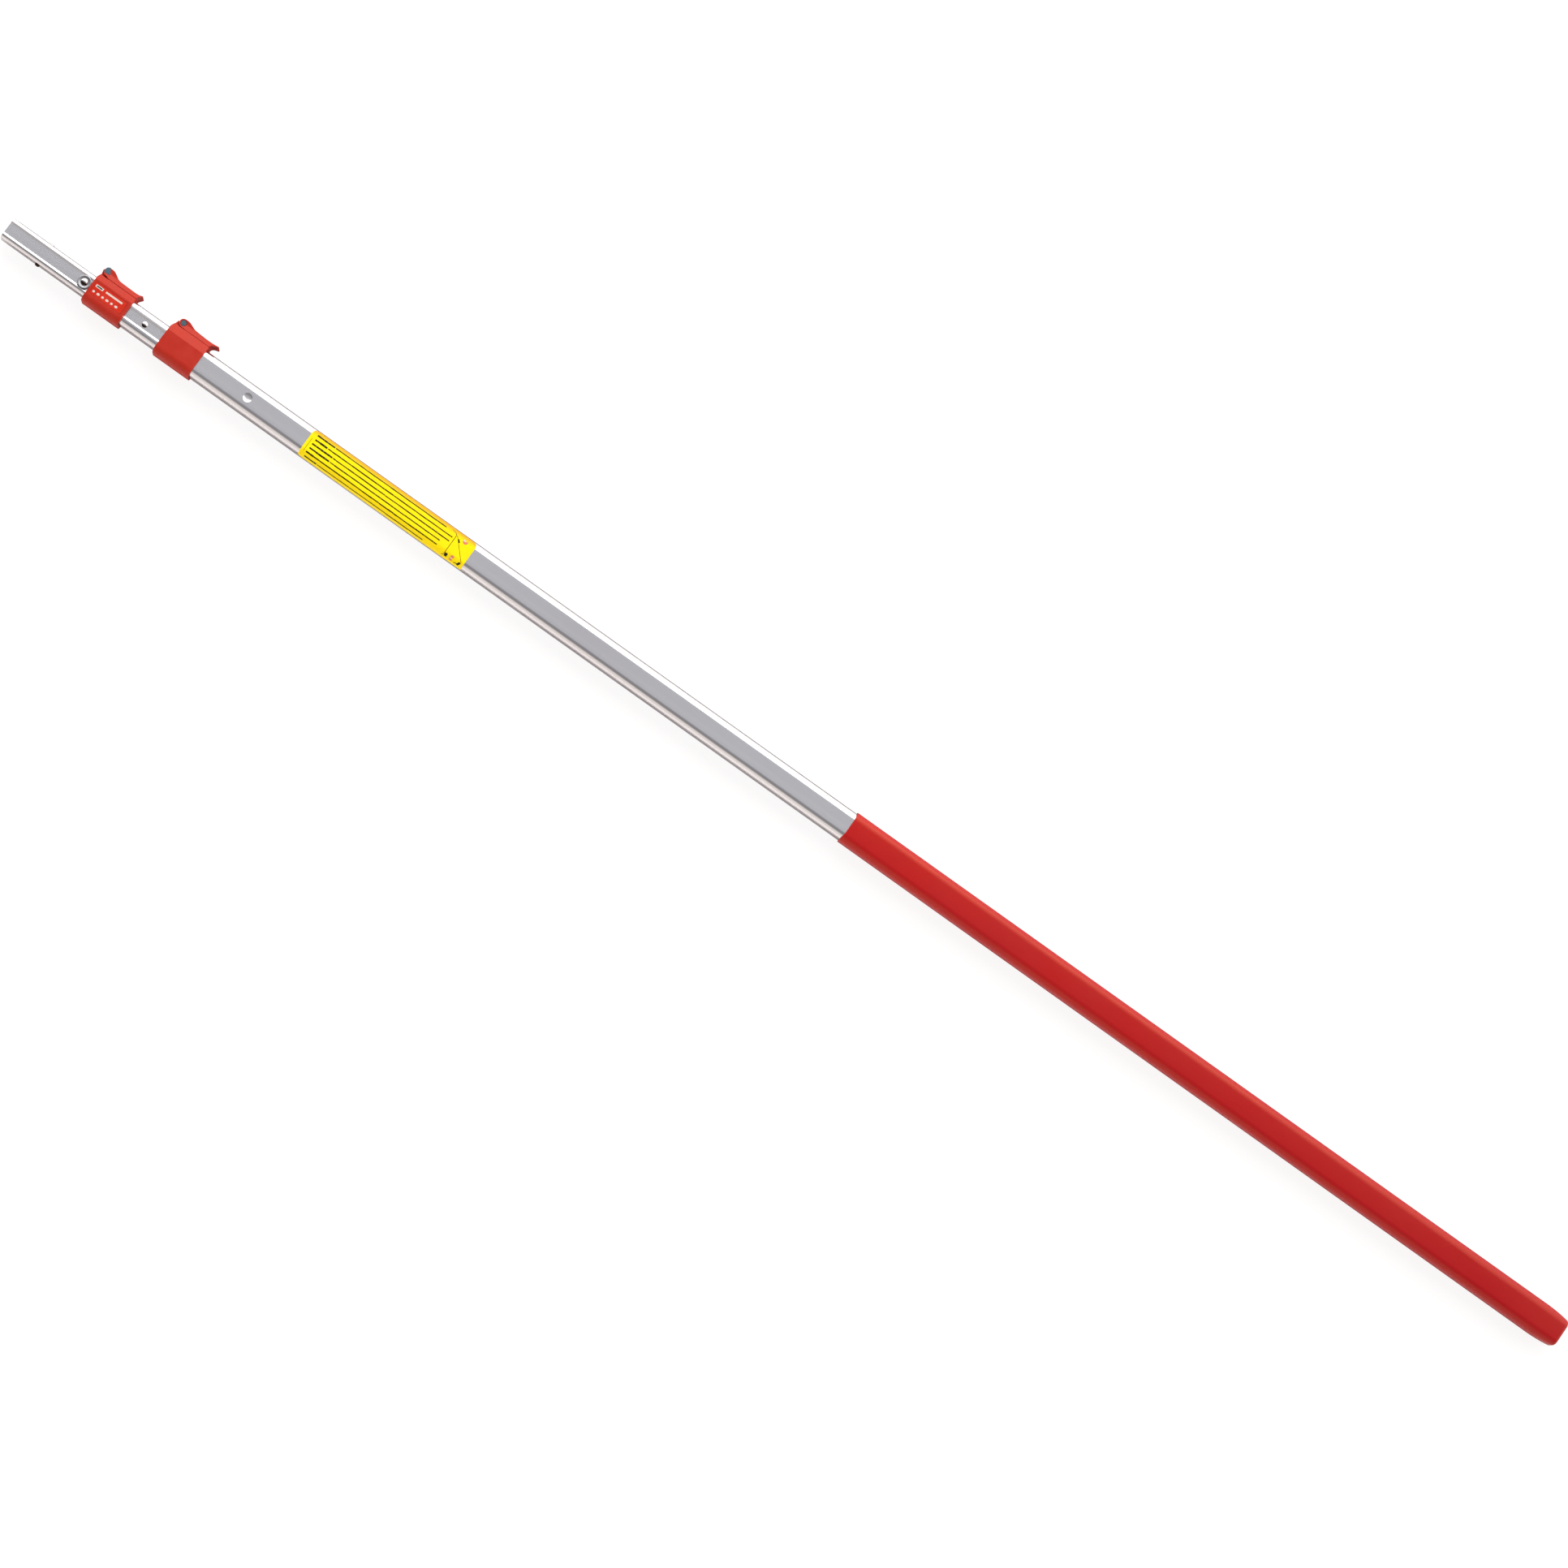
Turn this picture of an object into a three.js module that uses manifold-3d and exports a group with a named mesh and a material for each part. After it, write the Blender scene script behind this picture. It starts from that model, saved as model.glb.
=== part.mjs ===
// A three-stage telescopic pole with two lever-lock collars.
//
// Millimetres. The pole lies along X with its free tip at +X, the locks' levers on the -Y side, and
// the flat face that carries the label up, at +Z. Every piece is worked out about the pole's own axis,
// and the whole group is shifted at the end so that the origin is under the middle of its box.

import * as THREE from 'three';
import { mergeVertices } from 'three/addons/utils/BufferGeometryUtils.js';
import Module from 'manifold-3d';

const wasm = await Module();
wasm.setup();

// ---------------------------------------------------------------- driving dimensions

const CLOSED_LENGTH = 2070;      // tip to butt, pushed together
const OUTER_WIDTH = 33.6;        // outer tube, across the levers
const OUTER_DEPTH = 28.6;        // outer tube, face to back
const OUTER_CORNER = 8.4;
const LEAST_CORNER = 0.3;        // of any section inside it
const TUBE_WALL = 1.6;
const SLIDE_GAP = 0.35;          // between one stage and the next, all round
const FIT_GAP = 0.3;             // between pieces that are fixed together
const GROOVE_DEPTH = 0.9;        // key groove along the face of the two inner stages
const GROOVE_SLOPE = 1.8;        // width of each of its sloped walls
const MIDDLE_LAND = 1.35;        // flat left beside the groove of the middle tube
const INNER_LAND = 0.2;
const ARC_STEPS = 6;             // facets in a tube's rounded corner

const SLEEVE_LENGTH = 950.6;
const SLEEVE_WALL = 1.5;
const SLEEVE_END_ROUND = 7;
const BUTT_PLUG_LENGTH = 20;
const PLUG_WALL = 2.2;

const LABEL_LENGTH = 216.9;
const LABEL_START = 398.9;       // from the tip
const LABEL_THICKNESS = 0.3;
const LABEL_GAP = 0.1;
const LABEL_WRAP = 55;           // degrees round the corner on the lever side
const LABEL_DROP = 4;            // down the other narrow side, past the corner

const DIMPLE_FROM_TIP = 320.1;
const DIMPLE_RADIUS = 5.2;

const MIDDLE_TAIL_FROM_BUTT = 47;  // tail of the middle tube, pushed in
const INNER_TAIL_STEP = 27;        // tail of the inner tube, in front of the middle one's
const TAIL_FLANGE = 4;
const TAIL_PLUG_LENGTH = 18;
const VENT_RADIUS = 3;
const TAIL_RIVET_RADIUS = 1.7;

const BUTTON_FROM_TIP = 48.5;
const BUTTON_RADIUS = 2.8;
const BUTTON_PROUD = 2.2;
const BUTTON_LEDGE = 0.8;        // its foot is this much larger in radius
const BUTTON_FOOT = 1.2;         // thickness of the foot
const SPRING_THICKNESS = 0.8;
const SPRING_WIDTH = 8;
const SPRING_REACH = 40;         // from the buttons back to the fold
const SPRING_FOLD = 3;           // radius of the fold

const INNER_RIVET_FROM_TIP = 102.6;
const INNER_RIVET_HEAD = 4;
const WASHER_RADIUS = 7.7;
const WASHER_THICKNESS = 0.8;
const WASHER_RIM = 1;
const WASHER_DISH = 0.6;         // how far its middle is pressed down
const WASHER_LIFT = 0.15;        // off the face it lies on
const MIDDLE_RIVET_FROM_TIP = 182.9;
const MIDDLE_RIVET_HEAD = 3.3;
const RIVET_SHANK = 2.1;
const RIVET_HEIGHT = 2.2;
const INNER_RIVET_HEIGHT = 2.5;
const RIVET_SEAT = 0.1;
const KEEPER_REACH = 0.5;        // a stop's reach into the next stage's groove

const SCREW_RADIUS = 1.7;
const SCREW_HEAD = 3.4;
const SCREW_SPACING = 12;

const PIN_RADIUS = 1.8;
const PIN_HEAD = 3.2;
const PIN_PROUD = 0.2;
const WEDGE_CORNERS = [[3.7, 2.5], [3.3, -2.6], [0.6, -4.3], [-3.4, 1.9]];  // of a head, from the pin
const EAR_WALL = 1.5;            // of the collar's ears round the pin
const EAR_THICKNESS = 2.3;
const HOOD_GAP = 0.4;            // round an ear, under the lever's skin
const HOOD_SKIN = 1.1;
const HOOD_TURN = 262;           // degrees: where the lever's skin ends, over the pin
const CHEEK_WALL = 2.4;          // of the lever, outside an ear
const CAM_RADIUS = 4.2;
const CAM_OFFSET = 0.9;
const CAM_ARM = 15;              // from the pin back under the lever
const SHOE_LENGTH = 13;
const LIP = 2;                   // collar's front wall, which keeps the bush in
const MOUTH_BEHIND = 2;          // a tube's mouth, behind the middle of its lock
const HUMP_FLAT = 3;             // the hump's level top, behind the pin
const HUMP_LENGTH = 17.5;        // from the pin to the hollow of the flap
const FLAP_END = 6;              // where the flap starts to turn out, in front of the collar's rear
const TAIL_THICKNESS = 1.4;

// Each lock: its place from the tip, its walls over the tube that it is fixed to, and how far its
// pin and lever stand off that tube. The lever is narrower than the collar by a drop on each side.
const UPPER = {
  name: 'upper',
  fromTip: 110.7,
  length: 48.5,
  faceWall: 3.15,
  plusWall: 3.15,
  minusWall: 2.15,
  bevelStart: 1.65,              // past the tube's flat face
  shoulderSlope: 0.38,
  shoulderDrop: 5.1,
  corner: 8,
  pinInset: 6.3,
  pinStand: 9.15,
  leverStand: 7.85,
  dishStand: 8.25,
  tailStand: 9.75,
  tailReach: 4,
  leverWall: 2.5,
  wedgeHead: true,
};
const LOWER = {
  name: 'lower',
  fromTip: 206.3,
  length: 47.7,
  faceWall: 2.3,
  plusWall: 2.3,
  minusWall: 3.7,
  bevelStart: 1.9,
  shoulderSlope: 0.38,
  shoulderDrop: 6.2,
  corner: 8.8,
  pinInset: 9.2,
  pinStand: 9.4,
  leverStand: 9.7,
  dishStand: 10.4,
  tailStand: 10.8,
  tailReach: 8,
  leverWall: 2.7,
  wedgeHead: false,
};
const PLATE = { length: 41.4, width: 15.2, thickness: 0.6, seat: 0.1, inset: 3.2 };

// ---------------------------------------------------------------- derived sizes

const TIP = CLOSED_LENGTH / 2;
const BUTT = -TIP;
const STEP = TUBE_WALL + SLIDE_GAP;
const SLEEVE_END_WALL = 0.6 * SLEEVE_END_ROUND;
const BUTTON_FLANGE = BUTTON_RADIUS + BUTTON_LEDGE;
const EAR_RADIUS = PIN_RADIUS + FIT_GAP + EAR_WALL;
const KNUCKLE_RADIUS = EAR_RADIUS + HOOD_GAP + HOOD_SKIN;

/** Where the mouth of the tube that a lock is fixed to lies along the pole. */
function mouthIn(lock) {
  return TIP - lock.fromTip - lock.length / 2 - MOUTH_BEHIND;
}

/** The section of a rounded tube, made smaller all round by an inset. */
function inset(section, by) {
  return {
    width: section.width - 2 * by,
    depth: section.depth - 2 * by,
    corner: Math.max(section.corner - by, LEAST_CORNER),
  };
}

const OUTER = { width: OUTER_WIDTH, depth: OUTER_DEPTH, corner: OUTER_CORNER };
const MIDDLE = { ...inset(OUTER, STEP), land: MIDDLE_LAND };
const INNER = { ...inset(MIDDLE, STEP), land: INNER_LAND };
const OUTER_MOUTH = mouthIn(LOWER);
const MIDDLE_MOUTH = mouthIn(UPPER);
const MIDDLE_TAIL = BUTT + MIDDLE_TAIL_FROM_BUTT;
const INNER_TAIL = MIDDLE_TAIL + INNER_TAIL_STEP;

// ---------------------------------------------------------------- solids

/** Turns a three.js geometry into a manifold solid. */
function solid(geometry) {
  const bare = geometry.index ? geometry.toNonIndexed() : geometry.clone();
  bare.deleteAttribute('normal');
  bare.deleteAttribute('uv');
  const merged = mergeVertices(bare, 1e-4);
  const mesh = new wasm.Mesh({
    numProp: 3,
    vertProperties: new Float32Array(merged.attributes.position.array),
    triVerts: new Uint32Array(merged.index.array),
  });
  return new wasm.Manifold(mesh);
}

/** Turns a manifold solid back into a three.js geometry. */
function geometryOf(body) {
  const mesh = body.getMesh();
  const geometry = new THREE.BufferGeometry();
  geometry.setAttribute('position', new THREE.BufferAttribute(mesh.vertProperties, 3));
  geometry.setIndex(new THREE.BufferAttribute(mesh.triVerts, 1));
  geometry.computeVertexNormals();
  return geometry;
}

/** Extrudes a shape drawn in Y and Z along X, from one end to the other. */
function alongX(shape, from, to, options = {}) {
  const geometry = new THREE.ExtrudeGeometry(shape, {
    depth: to - from,
    bevelEnabled: false,
    curveSegments: ARC_STEPS / 2,
    ...options,
  });
  const turn = new THREE.Matrix4().set(0, 0, 1, from, 1, 0, 0, 0, 0, 1, 0, 0, 0, 0, 0, 1);
  return geometry.applyMatrix4(turn);
}

/** Extrudes a shape drawn in X and Y along Z. */
function alongZ(shape, from, to) {
  const geometry = new THREE.ExtrudeGeometry(shape, {
    depth: to - from,
    bevelEnabled: false,
    curveSegments: ARC_STEPS,
  });
  return geometry.translate(0, 0, from);
}

/** A box from its lowest to its highest corner. */
function box(x0, x1, y0, y1, z0, z1) {
  const geometry = new THREE.BoxGeometry(x1 - x0, y1 - y0, z1 - z0);
  return geometry.translate((x0 + x1) / 2, (y0 + y1) / 2, (z0 + z1) / 2);
}

/** A cylinder along Z. */
function rodZ(radius, x, y, z0, z1, sides = 20) {
  const geometry = new THREE.CylinderGeometry(radius, radius, z1 - z0, sides);
  return geometry.rotateX(Math.PI / 2).translate(x, y, (z0 + z1) / 2);
}

/** A cylinder along Y. */
function rodY(radius, x, y0, y1, z, sides = 20) {
  const geometry = new THREE.CylinderGeometry(radius, radius, y1 - y0, sides);
  return geometry.translate(x, (y0 + y1) / 2, z);
}

/** A turned piece: radius and height pairs about the Z axis, from the bottom up. */
function turned(points, x, y, z, sides = 20) {
  const profile = points.map(([radius, height]) => new THREE.Vector2(radius, height));
  return new THREE.LatheGeometry(profile, sides).rotateX(Math.PI / 2).translate(x, y, z);
}

/** A domed rivet head's profile on top of a shank. */
function rivetProfile(shank, shankLength, head, height) {
  const points = [[0, -shankLength], [shank, -shankLength], [shank, 0], [head, 0]];
  for (let step = 1; step < 5; step += 1) {
    const angle = (step / 5) * (Math.PI / 2);
    points.push([head * Math.cos(angle), height * Math.sin(angle)]);
  }
  points.push([0, height]);
  return points;
}

/** Outline of a rounded tube in Y and Z; a groove is cut in its face if the section has a land. */
function outline(section, path = new THREE.Shape()) {
  const y = section.width / 2;
  const z = section.depth / 2;
  const r = section.corner;
  path.moveTo(y - r, z);
  if (section.land !== undefined) {
    const edge = y - r - section.land;
    path.lineTo(edge, z);
    path.lineTo(edge - GROOVE_SLOPE, z - GROOVE_DEPTH);
    path.lineTo(-edge + GROOVE_SLOPE, z - GROOVE_DEPTH);
    path.lineTo(-edge, z);
  }
  path.lineTo(-y + r, z);
  path.absarc(-y + r, z - r, r, Math.PI / 2, Math.PI, false);
  path.absarc(-y + r, -z + r, r, Math.PI, 1.5 * Math.PI, false);
  path.absarc(y - r, -z + r, r, 1.5 * Math.PI, 2 * Math.PI, false);
  path.absarc(y - r, z - r, r, 0, Math.PI / 2, false);
  return path;
}

/** A tube of the given outer and inner sections. */
function tube(outer, inner, from, to) {
  const shape = outline(outer);
  shape.holes.push(outline(inner, new THREE.Path()));
  return solid(alongX(shape, from, to));
}

const pole = new THREE.Group();

/** Adds a named piece with its own material to the pole. */
function add(name, body, color, roughness, metalness) {
  const geometry = body instanceof wasm.Manifold ? geometryOf(body) : body;
  const mesh = new THREE.Mesh(geometry, new THREE.MeshStandardMaterial({ color, roughness, metalness }));
  mesh.name = name;
  pole.add(mesh);
}

const ALUMINIUM = [0xa9a7aa, 0.34, 1];
const STEEL = [0xc9c7c4, 0.22, 1];
const RED = [0xbf3229, 0.42, 0];
const SLEEVE_RED = [0xb92628, 0.48, 0];
const YELLOW = [0xf6e012, 0.35, 0];
const BLUE_GREY = [0x3f4f55, 0.45, 0];
const BLACK = [0x1c1d1f, 0.7, 0];
const NYLON = [0xd8d6cf, 0.5, 0];

// ---------------------------------------------------------------- tubes

/** Height of a section's face, at the bottom of its groove if it has one. */
function faceHeight(section) {
  return section.depth / 2 - (section.land === undefined ? 0 : GROOVE_DEPTH);
}

/** Screw holes through a tube's back, under a lock's rear half. */
function screwPlaces(lock) {
  const middle = TIP - lock.fromTip - lock.length * 0.75;
  return [middle - SCREW_SPACING / 2, middle + SCREW_SPACING / 2];
}

function outerTube() {
  let body = tube(OUTER, inset(OUTER, TUBE_WALL), BUTT + SLEEVE_END_WALL + FIT_GAP, OUTER_MOUTH);
  const x = TIP - DIMPLE_FROM_TIP;
  const top = OUTER.depth / 2;
  const deep = SLIDE_GAP + KEEPER_REACH;
  const bulge = [[0, -deep], [DIMPLE_RADIUS * 0.5, -deep], [DIMPLE_RADIUS, 0]];
  const dish = [...bulge, [DIMPLE_RADIUS, 1], [0, 1]];
  const filled = [...bulge, [DIMPLE_RADIUS, TUBE_WALL / 2], [0, TUBE_WALL / 2]];
  body = body.add(solid(turned(filled, x, 0, top - TUBE_WALL)));
  body = body.subtract(solid(turned(dish, x, 0, top)));
  for (const place of screwPlaces(LOWER)) {
    body = body.subtract(solid(rodZ(SCREW_RADIUS + FIT_GAP, place, 0, -OUTER.depth, 0)));
  }
  return body;
}

function middleTube() {
  let body = tube(MIDDLE, inset(MIDDLE, TUBE_WALL), MIDDLE_TAIL + TAIL_FLANGE + FIT_GAP, MIDDLE_MOUTH);
  const x = TIP - MIDDLE_RIVET_FROM_TIP;
  const floor = faceHeight(MIDDLE);
  body = body.subtract(solid(rodZ(RIVET_SHANK + FIT_GAP, x, 0, 0, MIDDLE.depth)));
  body = body.subtract(solid(rodZ(MIDDLE_RIVET_HEAD + FIT_GAP, x, 0, floor, MIDDLE.depth)));
  for (const place of [...screwPlaces(UPPER), tailRivetPlace(MIDDLE_TAIL)]) {
    body = body.subtract(solid(rodZ(SCREW_RADIUS + FIT_GAP, place, 0, -MIDDLE.depth, 0)));
  }
  return body;
}

function innerTube() {
  let body = tube(INNER, inset(INNER, TUBE_WALL), INNER_TAIL + TAIL_FLANGE + FIT_GAP, TIP);
  const x = TIP - INNER_RIVET_FROM_TIP;
  const floor = faceHeight(INNER);
  body = body.subtract(solid(rodZ(RIVET_SHANK + FIT_GAP, x, 0, 0, INNER.depth)));
  body = body.subtract(solid(rodZ(INNER_RIVET_HEAD + 2 * FIT_GAP, x, 0, floor, INNER.depth)));
  body = body.subtract(solid(rodZ(SCREW_RADIUS + FIT_GAP, tailRivetPlace(INNER_TAIL), 0, -INNER.depth, 0)));
  const reach = INNER.width;
  body = body.subtract(solid(rodY(BUTTON_RADIUS + FIT_GAP, TIP - BUTTON_FROM_TIP, -reach, reach, 0)));
  return body;
}

// ---------------------------------------------------------------- tail plugs and their rivets

/** Where a tail plug's rivet lies along the pole. */
function tailRivetPlace(tail) {
  return tail + TAIL_FLANGE + TAIL_PLUG_LENGTH / 2;
}

/** A cup in the tail of a stage, with a flange that fills the section and stops at the keeper. */
function tailPlug(section, tail) {
  const plain = { width: section.width, depth: section.depth, corner: section.corner };
  const cup = inset(plain, TUBE_WALL + FIT_GAP);
  const start = tail + TAIL_FLANGE;
  const end = start + TAIL_PLUG_LENGTH;
  let body = solid(alongX(outline(plain), tail, start));
  body = body.add(solid(alongX(outline(cup), start - 1, end)));
  body = body.subtract(solid(alongX(outline(inset(cup, PLUG_WALL)), start, end + 1)));
  const vent = new THREE.Shape().absarc(0, 0, VENT_RADIUS, 0, 2 * Math.PI, false);
  body = body.subtract(solid(alongX(vent, tail - 1, end)));
  const hole = rodZ(TAIL_RIVET_RADIUS + FIT_GAP, tailRivetPlace(tail), 0, -section.depth, 0);
  return body.subtract(solid(hole));
}

/** A flush rivet through a tube's back into its tail plug. */
function tailRivet(section, tail) {
  const bottom = -section.depth / 2;
  const top = bottom + TUBE_WALL + FIT_GAP + PLUG_WALL;
  return solid(rodZ(TAIL_RIVET_RADIUS, tailRivetPlace(tail), 0, bottom, top, 16));
}

// ---------------------------------------------------------------- grip sleeve, butt plug, label

const SLEEVE = inset(OUTER, -(FIT_GAP / 2 + SLEEVE_WALL));

function gripSleeve() {
  const mouth = BUTT + SLEEVE_LENGTH;
  const round = SLEEVE_END_ROUND;
  const rounded = alongX(outline(SLEEVE), BUTT + round, mouth + round, {
    bevelEnabled: true,
    bevelThickness: round,
    bevelSize: round,
    bevelOffset: -round,
    bevelSegments: 5,
  });
  const far = OUTER.width * 2;
  let body = solid(rounded).subtract(solid(box(mouth, mouth + 3 * round, -far, far, -far, far)));
  const bore = outline(inset(OUTER, -FIT_GAP / 2));
  body = body.subtract(solid(alongX(bore, BUTT + SLEEVE_END_WALL, mouth + 1)));
  return body;
}

function buttPlug() {
  const start = BUTT + SLEEVE_END_WALL + 2 * FIT_GAP;
  const section = inset(OUTER, TUBE_WALL + FIT_GAP);
  const body = solid(alongX(outline(section), start, start + BUTT_PLUG_LENGTH));
  const hollow = alongX(outline(inset(section, PLUG_WALL)), start + PLUG_WALL, start + BUTT_PLUG_LENGTH + 1);
  return body.subtract(solid(hollow));
}

/** The label's band: round the lever-side corner, over the face, and down the other narrow side. */
function label() {
  const y = OUTER.width / 2 - OUTER.corner;
  const z = OUTER.depth / 2 - OUTER.corner;
  const wrap = THREE.MathUtils.degToRad(LABEL_WRAP);
  const low = OUTER.corner + LABEL_GAP;
  const high = low + LABEL_THICKNESS;
  const drop = z - LABEL_DROP;
  const shape = new THREE.Shape();
  shape.moveTo(y + low, drop);
  shape.lineTo(y + high, drop);
  shape.absarc(y, z, high, 0, Math.PI / 2, false);
  shape.absarc(-y, z, high, Math.PI / 2, Math.PI / 2 + wrap, false);
  shape.absarc(-y, z, low, Math.PI / 2 + wrap, Math.PI / 2, true);
  shape.absarc(y, z, low, Math.PI / 2, 0, true);
  const end = TIP - LABEL_START;
  return solid(alongX(shape, end - LABEL_LENGTH, end));
}

// ---------------------------------------------------------------- locks

/** Where one lock's parts lie along the pole and off it, over the tube big and round the tube small. */
function layout(lock, big, small) {
  const front = TIP - lock.fromTip;
  const side = big.width / 2;
  const halfDepth = big.depth / 2 + lock.faceWall;
  const leverHalf = halfDepth - lock.shoulderDrop;
  const cheekInner = leverHalf - CHEEK_WALL;
  const earOuter = cheekInner - FIT_GAP;
  const earInner = earOuter - EAR_THICKNESS;
  const pinY = -side - lock.pinStand;
  return {
    ...lock,
    big,
    small,
    front,
    rear: front - lock.length,
    halfDepth,
    plusSide: side + lock.plusWall,
    minusSide: side + lock.minusWall,
    faceHalf: side - big.corner + lock.bevelStart,
    leverHalf,
    cheekInner,
    earOuter,
    earInner,
    camHalf: earInner - FIT_GAP,
    headSeat: leverHalf - CHEEK_WALL / 2,
    pinX: front - lock.pinInset,
    pinY,
    beyond: side + lock.pinStand + 2 * KNUCKLE_RADIUS,
    leverHeight: side + lock.leverStand,
    leverDish: side + lock.dishStand,
    tailHeight: side + lock.tailStand,
    shoeOuter: pinY + CAM_OFFSET + CAM_RADIUS + FIT_GAP,
    shoeInner: -small.width / 2 - FIT_GAP,
  };
}

/** Height of a lock's outside at a place across it: a flat face, a sloping shoulder, then the lever. */
function shoulderHeight(lock, y) {
  const slope = lock.shoulderSlope * Math.max(0, -lock.faceHalf - y);
  return Math.max(lock.leverHalf, lock.halfDepth - slope);
}

/** The section of a collar and lever together, in Y and Z, out to a distance on the lever side. */
function lockSection(lock, reach) {
  const knee = lock.faceHalf + lock.shoulderDrop / lock.shoulderSlope;
  const bend = Math.min(knee, reach);
  const bendHeight = shoulderHeight(lock, -bend);
  const edge = shoulderHeight(lock, -reach);
  const face = lock.halfDepth;
  const r = lock.corner;
  const y = lock.plusSide - r;
  const z = face - r;
  const shape = new THREE.Shape();
  shape.moveTo(-lock.faceHalf, face);
  shape.lineTo(-bend, bendHeight);
  if (reach > knee) {
    shape.lineTo(-reach, edge);
    shape.lineTo(-reach, -edge);
  }
  shape.lineTo(-bend, -bendHeight);
  shape.lineTo(-lock.faceHalf, -face);
  shape.absarc(y, -z, r, 1.5 * Math.PI, 2 * Math.PI, false);
  shape.absarc(y, z, r, 0, Math.PI / 2, false);
  return shape;
}

/** Side view of an ear, from the collar's front corner round the pin. */
function earShape(lock) {
  const shape = new THREE.Shape();
  const root = -lock.minusSide + 1;
  shape.moveTo(lock.pinX + KNUCKLE_RADIUS, root);
  shape.lineTo(lock.pinX + KNUCKLE_RADIUS, -lock.minusSide);
  shape.absarc(lock.pinX, lock.pinY, EAR_RADIUS, 0, Math.PI, true);
  shape.lineTo(lock.pinX - EAR_RADIUS, root);
  return shape;
}

/** The window in a collar's lever side, and in its bush, that the brake shoe moves in. */
function shoeWindow(lock, outside) {
  const half = SHOE_LENGTH / 2 + FIT_GAP;
  return solid(box(lock.pinX - half, lock.pinX + half, -outside, 0, -lock.earInner, lock.earInner));
}

function collar(lock) {
  const far = lock.beyond;
  const throat = outline(inset(lock.small, -2 * FIT_GAP));
  const bore = outline(inset(lock.big, -FIT_GAP));
  let body = solid(alongX(lockSection(lock, lock.minusSide), lock.rear, lock.front));
  for (const low of [lock.earInner, -lock.earOuter]) {
    body = body.add(solid(alongZ(earShape(lock), low, low + EAR_THICKNESS)));
  }
  body = body.subtract(solid(alongX(bore, lock.rear - 1, lock.front - LIP)));
  body = body.subtract(solid(alongX(throat, lock.rear, lock.front + 1)));
  body = body.subtract(shoeWindow(lock, lock.minusSide + 1));
  body = body.subtract(solid(rodZ(PIN_RADIUS + FIT_GAP, lock.pinX, lock.pinY, -far, far)));
  for (const place of screwPlaces(lock)) {
    body = body.subtract(solid(screwShape(lock, place, FIT_GAP)));
  }
  if (lock.wedgeHead) {
    body = body.subtract(plateSpace(lock, lock.halfDepth - PLATE.thickness - PLATE.seat, far, 0));
  }
  return body;
}

/** One head of a pin, round or a wedge that shows at the hump's front corner. */
function pinHead(lock, low, high, grow) {
  if (!lock.wedgeHead) {
    return solid(rodZ(PIN_HEAD + grow, lock.pinX, lock.pinY, low, high));
  }
  const scale = 1 + grow / PIN_HEAD;
  const corners = WEDGE_CORNERS.map(
    ([x, y]) => new THREE.Vector2(lock.pinX + x * scale, lock.pinY + y * scale),
  );
  return solid(alongZ(new THREE.Shape(corners), low, high));
}

/** The place of the plate in the upper collar's face, made smaller all round by a gap. */
function plateSpace(lock, low, high, by) {
  const end = lock.front - PLATE.inset - by;
  const start = lock.front - PLATE.inset - PLATE.length + by;
  const half = PLATE.width / 2 - by;
  return solid(box(start, end, -half, half, low, high));
}

/** The thin plate set into the upper collar's face. */
function collarPlate(lock) {
  return plateSpace(lock, lock.halfDepth - PLATE.thickness, lock.halfDepth, FIT_GAP);
}

/** A countersunk screw along -Z into a lock's back, grown by a gap where it is a hole. */
function screwShape(lock, x, grow) {
  const back = -lock.halfDepth;
  const end = -lock.big.depth / 2 + TUBE_WALL;
  const head = SCREW_HEAD + grow;
  const shank = SCREW_RADIUS + grow;
  const sink = SCREW_HEAD - SCREW_RADIUS;
  const start = grow > 0 ? back - 1 : back + 0.2;
  const profile = [[0, start], [head, start], [head, back + 0.4], [shank, back + 0.4 + sink]];
  profile.push([shank, end + grow], [0, end + grow]);
  return turned(profile, x, 0, 0, 16);
}

/** The plastic liner at a tube's mouth that the next stage slides in. */
function bush(lock) {
  const plain = { width: lock.big.width, depth: lock.big.depth, corner: lock.big.corner };
  const bore = inset({ ...lock.small, land: undefined }, -SLIDE_GAP);
  const body = tube(plain, bore, mouthIn(lock) + FIT_GAP, lock.front - LIP - FIT_GAP);
  return body.subtract(shoeWindow(lock, plain.width));
}

/** The brake shoe, a block in the window between the cam and the sliding stage. */
function shoe(lock) {
  const half = SHOE_LENGTH / 2;
  const wide = lock.camHalf;
  return solid(box(lock.pinX - half, lock.pinX + half, lock.shoeOuter, lock.shoeInner, -wide, wide));
}

/** The eccentric's cylinder on the pin, grown by a gap where it is a hole. */
function camBarrel(lock, grow) {
  const wide = lock.camHalf + grow;
  return solid(rodZ(CAM_RADIUS + grow, lock.pinX, lock.pinY + CAM_OFFSET, -wide, wide, 28));
}

/** The eccentric block on the pin, with an arm that lies under the lever. */
function cam(lock) {
  const wide = lock.camHalf;
  const under = -lock.leverHeight + lock.leverWall + FIT_GAP;
  const armBottom = lock.shoeOuter - 2 * FIT_GAP;
  const arm = box(lock.pinX - CAM_ARM, lock.pinX - 1, under, armBottom, -wide, wide);
  const body = camBarrel(lock, 0).add(solid(arm));
  return body.subtract(solid(rodZ(PIN_RADIUS + FIT_GAP, lock.pinX, lock.pinY, -2 * wide, 2 * wide)));
}

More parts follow.
